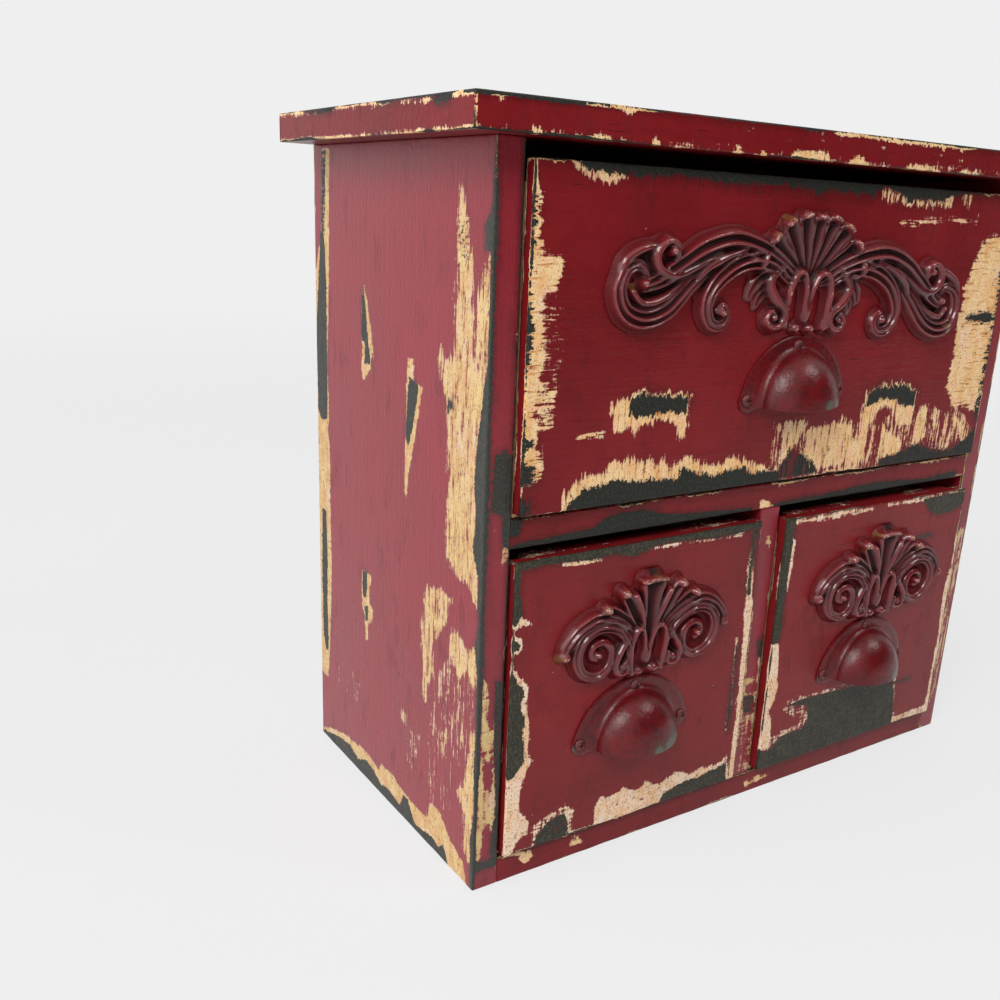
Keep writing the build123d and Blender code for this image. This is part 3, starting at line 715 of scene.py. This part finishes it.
def carve(relief, grid, route, widths, heights, form):
    """Raise one carved member along its route: a round cord, a fluted leaf, or a hollow petal."""
    line = smooth_route(route)
    share = np.linspace(0, 1, len(line))
    marks = np.linspace(0, 1, len(widths))
    half = np.interp(share, marks, widths)
    tall = np.interp(share, np.linspace(0, 1, len(heights)), heights)
    tangent = np.gradient(line, axis=0)
    tangent /= np.linalg.norm(tangent, axis=1, keepdims=True) + 1e-9
    low, high = line.min(axis=0) - max(widths), line.max(axis=0) + max(widths)
    near = ((grid > low) & (grid < high)).all(axis=1)
    spots = grid[near]
    gap = spots[:, None, :] - line[None, :, :]
    away = np.linalg.norm(gap, axis=2)
    best = np.argmin(away / half[None, :], axis=1)
    rows = np.arange(len(spots))
    x = away[rows, best] / half[best]
    cross = gap[rows, best, 0] * tangent[best, 1] - gap[rows, best, 1] * tangent[best, 0]
    side = np.clip(cross / half[best], -1, 1)
    body = np.sqrt(np.clip(1 - x**2, 0, 1))
    if form == "cord":
        shape = body
    elif form == "leaf":
        shape = body**0.55 * (0.76 + 0.24 * np.cos(side * 3 * math.pi))
    else:
        shape = np.clip(1 - x**6, 0, 1) ** 0.5 * (0.36 + 0.64 * np.abs(side) ** 1.4)
    raised = np.where(x < 1, shape * tall[best], 0)
    relief[near] = np.maximum(relief[near], raised)


def boss(relief, grid, centre, radii, height):
    """Raise one rounded boss."""
    reach = np.linalg.norm((grid - np.array(centre)) / np.array(radii), axis=1)
    relief[:] = np.maximum(relief, np.sqrt(np.clip(1 - reach**2, 0, 1)) * height)


def blur(field, cells):
    """Soften a 2-D field over a number of cells each way."""
    kernel = np.exp(-0.5 * (np.arange(-3 * cells, 3 * cells + 1) / cells) ** 2)
    kernel /= kernel.sum()
    for axis in (0, 1):
        padded = np.pad(field, [(3 * cells, 3 * cells) if a == axis else (0, 0) for a in (0, 1)],
                        mode="edge")
        field = np.apply_along_axis(lambda row: np.convolve(row, kernel, "valid"), axis, padded)
    return field


def shell_petals(root, reach, count, spread, wide, tall):
    """The petals of a shell: each a hollow flute that widens and rises to a rolled tip."""
    for i in range(count):
        lean = math.radians((i / (count - 1) - 0.5) * spread)
        tip_reach = reach + 5 * abs(math.sin(lean))
        way = np.array((math.sin(lean), math.cos(lean)))
        start, end = np.array((0, root)) + 4 * way, np.array((0, root)) + (tip_reach - wide) * way
        yield (start, (start + end) / 2, end), (1.0, 0.62 * wide, wide), (3.0, 0.75 * tall, tall), "petal"
        curl = end + (wide - 1.9) * way
        yield (curl - (1.4 * way[1], -1.4 * way[0]), curl + (1.4 * way[1], -1.4 * way[0])), \
            (1.9, 1.9), (tall + 0.6, tall + 0.6), "cord"


# The right half of the carving, in millimetres from the ornament's foot: for each member its route,
# its half widths and heights along that route, and its form. The left half mirrors it.
scroll_members = (
    (((8, 23), (20, 29), (34, 33.5), (49, 35), (63, 31.5), (75, 25), (86, 19), (93, 16)),
     (3.0, 5.0, 6.4, 6.0, 4.6, 2.6), (5.0, 6.6, 7.0, 6.4, 5.2), "leaf"),
    (((56, 31), (68, 25), (79, 21), (87, 23), (89.5, 28.6), (85, 33.6), (79.5, 32.4), (79, 28.4)),
     (2.6, 3.0, 2.6, 2.0), (5.0, 6.2, 6.6, 6.0), "cord"),
    (((60, 25), (70, 17), (81, 7.5), (92, 4), (101.5, 6.5), (105.5, 14), (103, 21.5), (96.5, 24),
      (92, 20.6), (93, 16.4)),
     (3.0, 4.4, 4.6, 3.6, 2.6, 2.0), (5.0, 6.6, 7.0, 6.4, 5.6, 4.6), "leaf"),
    (((70, 22), (82, 13), (93, 10), (98.5, 14)), (1.8, 2.6, 2.0), (4.0, 5.6, 4.6), "cord"),
    (((88, 31.5), (96, 30), (103.5, 25.5), (106, 18)), (2.4, 2.8, 2.2), (4.6, 5.2, 4.6), "cord"),
    (((12, 22), (24, 28), (36, 29), (47, 26), (56, 19.5), (60, 11), (57, 4), (50.5, 2.6), (47, 6.4),
      (50, 10.4), (53, 8.2)),
     (3.0, 4.6, 4.6, 3.8, 3.0, 2.2, 1.8), (5.4, 7.2, 7.4, 6.8, 6.0, 5.4, 5.4), "leaf"),
    (((42, 33), (53, 29.5), (62, 25), (66.5, 20.4)), (1.6, 3.0, 2.0), (5.6, 6.8, 5.2), "cord"),
    (((18, 28), (25, 21.5), (21.5, 14.5), (15, 9.6), (15.6, 4.4), (20.6, 2.6), (24.4, 5.6), (22, 9.4),
      (19, 7.4)),
     (2.6, 3.2, 2.6, 2.0, 1.6), (5.0, 6.6, 6.2, 5.6, 5.2), "cord"),
    (((26, 25), (32, 20), (35, 14.4)), (2.0, 3.0, 1.4), (5.0, 5.0, 3.0), "petal"),
    (((22, 20), (28, 15), (30, 10.4)), (1.6, 2.4, 1.2), (4.6, 4.4, 2.6), "petal"),
    (((1.6, 9), (1.8, 18), (5, 25), (9.8, 25.2), (12.8, 18.6), (13, 10), (12.6, 3)),
     (1.6, 2.2, 2.0), (4.4, 6.6, 4.8), "cord"),
)
scroll_bosses = (
    ((0, 10), (3.4, 6.6), 5.2), ((4.6, 2.6), (2.8, 2.4), 4.6), ((93.6, 17.4), (2.4, 2.4), 6.4),
    ((81.6, 30.2), (2.6, 2.6), 7.4), ((50.6, 7.6), (2.3, 2.3), 6.4), ((20.4, 6.4), (2.1, 2.1), 6.4),
)
palmette_members = (
    (((0, 18), (0, 30), (0, 42)), (1.8, 4.2, 7.4), (4.0, 6.6, 7.8), "petal"),
    (((-6, 44.4), (0, 45.2), (6, 44.4)), (1.7, 2.0, 1.7), (7.6, 8.0, 7.6), "cord"),
    (((2.4, 20), (5.4, 30), (9.6, 38.4)), (1.2, 1.9, 2.2), (4.0, 6.2, 6.6), "cord"),
    (((3, 20), (8.4, 29), (13.4, 37), (16, 40.6)), (1.5, 2.8, 3.2, 3.0), (4.4, 6.4, 7.4, 7.6), "petal"),
    (((4.4, 20), (12, 27), (19.4, 32), (24.4, 34.6)), (1.5, 2.6, 3.2, 2.8), (4.4, 6.2, 7.0, 7.0), "petal"),
    (((8, 21), (18, 28), (29, 31.2), (38, 28), (44, 22), (45.6, 17.6)),
     (2.0, 3.4, 3.8, 3.4, 2.6), (5.0, 6.6, 6.8, 6.2, 5.0), "leaf"),
    (((9.6, 7), (11.6, 17.4), (18.4, 25), (28, 27.6), (36.6, 24), (39.6, 16), (36, 8.2), (28, 5.2),
      (21.6, 8.8), (20.6, 15.6), (25, 20), (30.6, 18.8), (31.6, 14.4), (28.2, 12.6)),
     (2.0, 3.2, 3.2, 2.8, 2.3, 1.9, 1.5), (5.4, 7.4, 7.2, 6.6, 6.2, 5.8, 5.6), "leaf"),
    (((11, 21), (15.6, 14.6), (18.6, 9), (16.4, 4), (11.6, 4.4), (12.6, 8.4)),
     (2.0, 2.6, 2.2, 1.7), (5.0, 6.0, 5.6, 5.2), "cord"),
    (((1.4, 8), (1.6, 15.4), (3.8, 22), (7.2, 22.6), (9.6, 17), (9.4, 8), (8.2, 1.6)),
     (1.4, 1.9, 1.6), (4.0, 6.2, 4.6), "cord"),
)
palmette_bosses = (
    ((16.2, 40.8), (2.9, 2.7), 8.2), ((25.2, 35), (3.0, 2.7), 7.8), ((45.6, 17.4), (3.2, 3.0), 6.0),
    ((28.6, 15.2), (2.2, 2.2), 6.6), ((0, 9.6), (3.6, 6.0), 4.6), ((4.6, 2.6), (4.0, 2.8), 4.6),
    ((14.6, 6.6), (2.6, 2.6), 5.8),
)


def cast_paint():
    """Cast composition under gloss red-brown paint: painted shade darkens it near black in the hollows;
    it is rubbed on the ridges to a paler red, and down to an olive-gold metallic wax on the tips."""
    material, tree, place = new_material("gloss_red_brown_paint_on_casting")
    ridge = add_node(tree, "ShaderNodeAttribute", attribute_name="ridge").outputs["Fac"]
    gilt = add_node(tree, "ShaderNodeAttribute", attribute_name="gilt").outputs["Fac"]
    grit = stretched_noise(tree, place, (0.8, 0.8, 0.8), 4.0, 0.7)
    runs = stretched_noise(tree, place, (6, 6, 6), 3.0)
    enclosed = add_node(tree, "ShaderNodeAttribute", attribute_name="enclosed").outputs["Fac"]
    level = total(tree, ridge, swing(tree, grit, 0.35), swing(tree, runs, 0.4))
    # painted shade: the hollows of the relief are coloured near black where the casting closes round them
    inside = coat(tree, "#1E0809", patches(tree, -0.75, 0.0, level), "#4C1116")
    colour = coat(tree, "#5C1116", enclosed, inside)
    colour = coat(tree, colour, patches(tree, 0.25, 1.0, level), "#74191E")
    colour = coat(tree, colour, patches(tree, 1.5, 1.65, ridge, swing(tree, grit, 2.6)), "#B58A7C")
    tips = patches(tree, 0.5, 0.8, gilt, swing(tree, grit, 1.2), swing(tree, runs, 0.9))
    colour = coat(tree, colour, tips, "#7E6A34", 0.3)
    roughness = total(tree, swing(tree, grit, 0.25), swing(tree, runs, 0.15), 0.4)
    relief = total(tree, swing(tree, grit, 0.00022), swing(tree, runs, 0.0002))
    # the coat's gloss is whole on the rounds and taken off the hollows, as painted shade on their
    # reflections
    gloss_off_shaded_hollows = patches(tree, -0.3, 0.4, level)
    finish_surface(tree, colour, roughness, relief, **{
        "Specular IOR Level": 0.15, "Coat Weight": gloss_off_shaded_hollows, "Coat Roughness": 0.13, "Coat IOR": 1.5,
    })
    return material


cast_red = cast_paint()


def casting(drawer, members, bosses, petals, gilt_spots, size, widen, shift, foot_drop, tilt, seed):
    """One cast ornament on its drawer front, as a closed relief with its back let into the glue."""
    front_low, front_high = (np.array(c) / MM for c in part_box(f"{drawer}_front"))
    across = np.arange(-size[0], size[0] + cast_pitch / 2, cast_pitch)
    up = np.arange(-2.0, size[1], cast_pitch)
    u, v = np.meshgrid(across, up)
    grid = np.stack([np.abs(u).ravel() / widen, v.ravel()], axis=1)
    relief = np.zeros(len(grid))
    for route, widths, heights, form in [*members, *petals]:
        # the grid is folded at the middle, so what lies wholly to the left is a mirror of the right
        if np.max([p[0] for p in route]) > -0.5:
            carve(relief, grid, route, widths, heights, form)
    for centre, radii, tall in bosses:
        boss(relief, grid, centre, radii, tall)
    relief = relief.reshape(u.shape)
    cast = (relief > carved_from).astype(float)
    ground = np.clip(blur(cast, 4) * 2.6, 0, 1) * cast_ledge
    rise = blur(np.maximum(relief, ground), 1)
    ridge = np.clip((rise - blur(rise, 4)) / 1.1, -1.5, 1.5)
    outer = blur(cast, 3)
    # how closely the casting closes round a point; the paint darkens such hollows as painted shade
    enclosed = np.clip((blur(cast, 6) - 0.55) / 0.3, 0, 1)
    rise = np.where(outer > 0.02, rise, 0) - 0.35
    lumps = wandering(np.stack([u.ravel(), v.ravel(), u.ravel() * 0], axis=1), 5.0, seed).reshape(u.shape)
    rise = rise + lumps * 0.18
    gilt = np.zeros(u.shape)
    for gu, gv, radius in gilt_spots:
        gilt = np.maximum(gilt, np.clip(1.25 - np.hypot(u - gu, v - gv) / radius, 0, 1))
    kept = outer > 0.12
    number = np.where(kept, np.cumsum(kept.ravel()).reshape(u.shape) - 1, -1)
    cells = np.stack([number[:-1, :-1], number[:-1, 1:], number[1:, 1:], number[1:, :-1]], axis=2)
    cells = cells.reshape(-1, 4)
    cells = cells[cells.min(axis=1) >= 0]
    used, cells = np.unique(cells, return_inverse=True)
    cells = cells.reshape(-1, 4)
    sides = {(a, b) for loop in cells.tolist() for a, b in zip(loop, loop[1:] + loop[:1])}
    count = len(used)
    quads = cells.tolist() + (cells[:, ::-1] + count).tolist()
    quads += [(b, a, a + count, b + count) for a, b in sorted(sides) if (b, a) not in sides]
    turn = math.radians(tilt)
    middle = (front_low[0] + front_high[0]) / 2 + shift
    foot = front_high[2] - foot_drop
    x = middle + u * math.cos(turn) - v * math.sin(turn)
    z = foot + u * math.sin(turn) + v * math.cos(turn)
    front = np.stack([x[kept], front_low[1] - rise[kept], z[kept]], axis=1)[used]
    back = front.copy()
    back[:, 1] = front_low[1] + cast_let_in
    marks = {"ridge": ridge, "gilt": gilt, "enclosed": enclosed}
    piece = new_piece(f"{drawer}_ornament_casting", np.vstack([front, back]), quads,
                      {label: np.tile(field[kept][used], 2) for label, field in marks.items()}, cast_red)
    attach(piece, drawer)
    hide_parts(f"{drawer}_ornament")
    return piece


scroll_petals = list(shell_petals(21, 29.5, 9, 150, 4.9, 6.8))
casting("top_drawer", scroll_members, scroll_bosses, scroll_petals,
        ((-19, 47, 3), (-25, 39, 3), (-96, 16, 2.6), (97, 6, 3), (17, 47, 2)),
        (109, 55), 0.975, -2, 63.5, -2.5, 11.0)
casting("lower_left_drawer", palmette_members, palmette_bosses, [],
        ((1, 45, 3.6), (-15, 41, 2.6), (-25, 35, 2.4), (-46, 16, 4)),
        (50, 49), 0.965, 1, 60.5, 0, 12.0)
casting("lower_right_drawer", palmette_members, palmette_bosses, [],
        ((-8, 45, 3), (-16, 39, 3), (24, 34, 2)),
        (51, 49), 1.0, 3, 60, 0, 13.0)

# ---------------------------------------------------------------------------------------------
# Cup pulls. Sheet steel 1.1 mm thick, deep-drawn to a half dome on a flat flange and painted with
# the chest in gloss red; the paint is thin on the dome's lower lip, where fingers pull.
dome_radius = 21.5
dome_proud = 16.9
dome_lip = 2.0
dome_tall = 1.07
flange_half = 32.6
flange_height = 31.2
flange_swell = 0.25
dome_flare = 2.4
sheet = 1.1
ornament_foot_to_pull_foot = 31.9
screw_places = ((-28.65, 5.6), (28.65, 5.6), (0, 27))


def pull_paint():
    """Gloss red paint on drawn steel: smooth, with the metal's grey-green showing at the lip."""
    material, tree, place = new_material("gloss_red_paint_on_steel")
    bared = add_node(tree, "ShaderNodeAttribute", attribute_name="bared").outputs["Fac"]
    grit = stretched_noise(tree, place, (0.9, 0.9, 0.9), 4.0, 0.65)
    clouds = stretched_noise(tree, place, (9, 9, 9), 4.0)
    blots = stretched_noise(tree, place, (3.5, 3.5, 3.5), 5.0, 0.6)
    colour = coat(tree, "#560F13", patches(tree, 0.35, 0.65, clouds), "#641116")
    colour = coat(tree, colour, patches(tree, 0.48, 0.7, blots), "#2E0A0C", 0.5)
    worn = total(tree, bared, swing(tree, blots, 1.0), swing(tree, grit, 0.5))
    colour = coat(tree, colour, patches(tree, 0.3, 0.7, worn), "#4A2A24")
    colour = coat(tree, colour, patches(tree, 0.62, 1.0, worn), "#53564A")
    colour = coat(tree, colour, patches(tree, 1.3, 1.4, worn), "#E8DAD2")
    roughness = total(tree, swing(tree, grit, 0.15), swing(tree, blots, 0.15), 0.27)
    relief = total(tree, swing(tree, grit, 0.0001), swing(tree, clouds, 0.0005))
    finish_surface(tree, colour, roughness, relief, **{"Specular IOR Level": 0.35})
    return material


pull_red = pull_paint()


def flange_rim(share):
    """A point on the flange's outer edge, from its right foot (0) over the top to its left foot (1)."""
    angle = math.pi * share
    ear = 5.0
    x, y = flange_half * math.cos(angle), flange_height * math.sin(angle)
    if y < ear:
        side = math.copysign(1, x)
        turn = math.asin(max(-1.0, min(1.0, 1 - y / ear)))
        x = side * (flange_half * math.sqrt(1 - (ear / flange_height) ** 2) - ear + ear * math.cos(turn))
        y = ear - ear * math.sin(turn)
    return x, y


def cup_pull(drawer, shift, foot_drop, tilt, worn_spots):
    """One drawn pull: dome and flange in one skin of sheet, with a rolled lip and dished screw holes."""
    front_low, front_high = (np.array(c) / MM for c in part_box(f"{drawer}_front"))
    around, dome_rings, flange_rings = 96, 22, 8
    points, quads = [], []
    for i in range(around + 1):
        share = i / around
        c, s = math.cos(math.pi * share), math.sin(math.pi * share)
        edge_x, edge_y = flange_rim(share)
        for k in range(dome_rings + 1):
            lean = k / dome_rings * math.pi / 2
            radius = dome_radius * math.sin(lean) ** 0.94
            flare = (dome_flare + flange_swell) * (k / dome_rings) ** 8
            out = dome_proud * math.cos(lean) ** 0.86 + sheet + flare
            dip = 0.9 * math.cos(math.pi / 2 * (radius / dome_radius)) * (1 - s)
            points.append((radius * c, dome_lip + dome_tall * radius * s - dip, max(out, sheet)))
        for k in range(1, flange_rings + 1):
            reach = k / flange_rings
            x = dome_radius * c * (1 - reach) + edge_x * reach
            y = (dome_lip + dome_tall * dome_radius * s) * (1 - reach) + edge_y * reach
            roll = 0.5 * max(0.0, reach - 0.8) / 0.2 - dome_flare * math.exp(-5.5 * reach)
            dish = sum(0.45 * math.exp(-(((x - hx) ** 2 + (y - hy) ** 2) / 9.0)) for hx, hy in screw_places)
            points.append((x, y, sheet + flange_swell - roll - dish))
    ring = dome_rings + flange_rings + 1
    for i in range(around):
        for k in range(ring - 1):
            a = i * ring + k
            quads.append((a, a + 1, a + ring + 1, a + ring))
    points = np.array(points)
    bared = np.zeros(len(points))
    for x, y, radius in worn_spots:
        away = np.hypot(points[:, 0] - x, points[:, 1] - y)
        bared = np.maximum(bared, np.clip(1.3 - away / radius, 0, 1.3))
    turn = math.radians(tilt)
    middle = (front_low[0] + front_high[0]) / 2 + shift
    foot = front_high[2] - foot_drop - ornament_foot_to_pull_foot
    placed = np.stack([
        middle + points[:, 0] * math.cos(turn) - points[:, 1] * math.sin(turn),
        front_low[1] - points[:, 2],
        foot + points[:, 0] * math.sin(turn) + points[:, 1] * math.cos(turn),
    ], axis=1)
    piece = new_piece(f"{drawer}_pull_drawn", placed, quads, {"bared": bared}, pull_red)
    mesh = bmesh.new()
    mesh.from_mesh(piece.data)
    bmesh.ops.remove_doubles(mesh, verts=mesh.verts, dist=0.00002)
    bmesh.ops.recalc_face_normals(mesh, faces=mesh.faces)
    if sum(f.normal.y for f in mesh.faces) > 0:
        bmesh.ops.reverse_faces(mesh, faces=mesh.faces)
    mesh.to_mesh(piece.data)
    mesh.free()
    skin = piece.modifiers.new("sheet", "SOLIDIFY")
    skin.thickness = sheet * MM
    skin.offset = -1
    rim = piece.modifiers.new("rim", "BEVEL")
    rim.width = 0.3 * MM
    rim.segments = 2
    rim.limit_method = "ANGLE"
    rim.angle_limit = math.radians(50)
    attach(piece, drawer)
    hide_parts(f"{drawer}_pull")
    return piece


cup_pull("top_drawer", -1, 63.5, 2, ((5, 3, 4), (13, 3, 4)))
cup_pull("lower_left_drawer", -2.5, 60.5, 0.5, ((2, 2, 5), (9, 3, 6), (16, 4, 6), (-33, 3, 4)))
cup_pull("lower_right_drawer", -1, 60, 0, ((15, 4, 6), (8, 3, 4), (-32, 2, 3)))

# ---------------------------------------------------------------------------------------------
# Pull screws. Round-headed steel wood screws, painted over in place and left dark in the cross slot.


def painted_steel():
    """Old paint over a steel screw head: dull dark red, rough where the driver has bitten."""
    material, tree, place = new_material("red_paint_on_screw_heads")
    grit = stretched_noise(tree, place, (0.7, 0.7, 0.7), 4.0, 0.7)
    colour = coat(tree, "#3A1214", patches(tree, 0.35, 0.65, grit), "#6E2226")
    roughness = total(tree, swing(tree, grit, 0.3), 0.42)
    finish_surface(tree, colour, roughness, swing(tree, grit, 0.00015))
    return material


screw_paint = painted_steel()
dress([f"{drawer}_pull_screws" for drawer in drawers], screw_paint)

# ---------------------------------------------------------------------------------------------
# Floor, light and camera. A flat white floor under a broad soft light from above and to the left,
# seen from the chest's front left and a little above it.


def studio_white():
    """Matt white paper. The camera and reflections see mostly its own colour, with a fifth of its
    shade near the chest and none far off, so that no horizon shows."""
    material, tree, place = new_material("matt_white_paper")
    tooth = stretched_noise(tree, place, (40, 40, 40), 2.0)
    colour = coat(tree, "#ECEAE9", tooth, "#EEEDEC")
    paper = add_node(tree, "ShaderNodeBsdfDiffuse", {"Color": colour})
    glow = add_node(tree, "ShaderNodeEmission", {"Color": linear("#EFEFF0"), "Strength": 1.0})
    seen = add_node(tree, "ShaderNodeLightPath")
    shown = total(tree, seen.outputs["Is Camera Ray"], seen.outputs["Is Glossy Ray"],
                  seen.outputs["Is Transmission Ray"])
    away = add_node(tree, "ShaderNodeVectorMath", {0: place}, operation="LENGTH").outputs["Value"]
    fade = add_node(tree, "ShaderNodeMapRange", {
        "Value": away, "From Min": 0.5, "From Max": 2.5, "To Min": 0.8, "To Max": 1.0,
    }, interpolation_type="SMOOTHSTEP").outputs[0]
    share = add_node(tree, "ShaderNodeMath", {0: shown, 1: fade}, operation="MULTIPLY")
    mixed = add_node(tree, "ShaderNodeMixShader", {
        0: share.outputs[0], 1: paper.outputs[0], 2: glow.outputs[0],
    })
    add_node(tree, "ShaderNodeOutputMaterial", {"Surface": mixed.outputs[0]})
    return material


floor_mesh = bpy.data.meshes.new("floor")
half = 12.0
floor_mesh.from_pydata([(-half, -half, 0), (half, -half, 0), (half, half, 0), (-half, half, 0)],
                       [], [(0, 1, 2, 3)])
floor_mesh.materials.append(studio_white())
floor = bpy.data.objects.new("floor", floor_mesh)
bpy.context.collection.objects.link(floor)

world = bpy.data.worlds.new("white_room")
world.use_nodes = True
room = world.node_tree
room.nodes.clear()
seen = add_node(room, "ShaderNodeLightPath")
shown = total(room, seen.outputs["Is Camera Ray"], seen.outputs["Is Glossy Ray"],
              seen.outputs["Is Transmission Ray"])
backdrop = add_node(room, "ShaderNodeBackground", {"Color": linear("#EFEFF0"), "Strength": 1.0})
ambient = add_node(room, "ShaderNodeBackground", {"Color": linear("#F2F4F8"), "Strength": 0.45})
mixed = add_node(room, "ShaderNodeMixShader", {
    0: shown, 1: ambient.outputs[0], 2: backdrop.outputs[0],
})
add_node(room, "ShaderNodeOutputWorld", {"Surface": mixed.outputs[0]})
bpy.context.scene.world = world


def soft_light(name, place, aim, size, power, colour):
    """A square soft box at a place, turned to its aim."""
    lamp = bpy.data.lights.new(name, "AREA")
    lamp.shape = "SQUARE"
    lamp.size = size
    lamp.energy = power
    lamp.color = linear(colour)[:3]
    box = bpy.data.objects.new(name, lamp)
    box.location = place
    box.rotation_euler = (Vector(aim) - Vector(place)).to_track_quat("-Z", "Y").to_euler()
    bpy.context.collection.objects.link(box)


soft_light("key_softbox", (-1.3, -0.9, 1.5), (0, 0, 0.15), 0.8, 22, "#FFFDF8")
soft_light("right_softbox", (0.75, -0.95, 1.25), (0, 0, 0.15), 0.4, 5, "#FFFDF8")
window = bpy.data.lights.new("window_light", "SUN")
window.energy = 1.3
window.angle = math.radians(60)
window.color = linear("#F6F8FF")[:3]
sky_side = bpy.data.objects.new("window_light", window)
sky_side.rotation_euler = Vector((0.85, -0.1, -0.5)).to_track_quat("-Z", "Y").to_euler()
bpy.context.collection.objects.link(sky_side)

# A dark felt flag in front and to the right keeps white haze off the fronts' gloss
flag_mesh = bpy.data.meshes.new("flag")
flag_mesh.from_pydata([(-0.1, -1.9, 0), (1.9, -0.5, 0), (1.9, -0.5, 1.3), (-0.1, -1.9, 1.3)], [],
                      [(0, 1, 2, 3)])
felt, tree, place = new_material("dark_felt")
nap = stretched_noise(tree, place, (4, 4, 4))
finish_surface(tree, coat(tree, "#1E1E20", nap, "#2A2A2C"), 0.95, swing(tree, nap, 0.0001))
flag_mesh.materials.append(felt)
flag = bpy.data.objects.new("flag", flag_mesh)
flag.visible_camera = False
bpy.context.collection.objects.link(flag)

camera_data = bpy.data.cameras.new("camera")
camera_data.lens = 37.25
camera_data.sensor_width = 36
camera_data.shift_x = -0.0288
camera_data.shift_y = 0.0351
camera = bpy.data.objects.new("camera", camera_data)
camera.location = (-0.3511, -0.3972, 0.2761)
camera.rotation_euler = Euler([math.radians(a) for a in (72.535, -2.559, -33.464)], "XYZ")
bpy.context.collection.objects.link(camera)
bpy.context.scene.camera = camera
bpy.context.scene.view_settings.view_transform = "Standard"
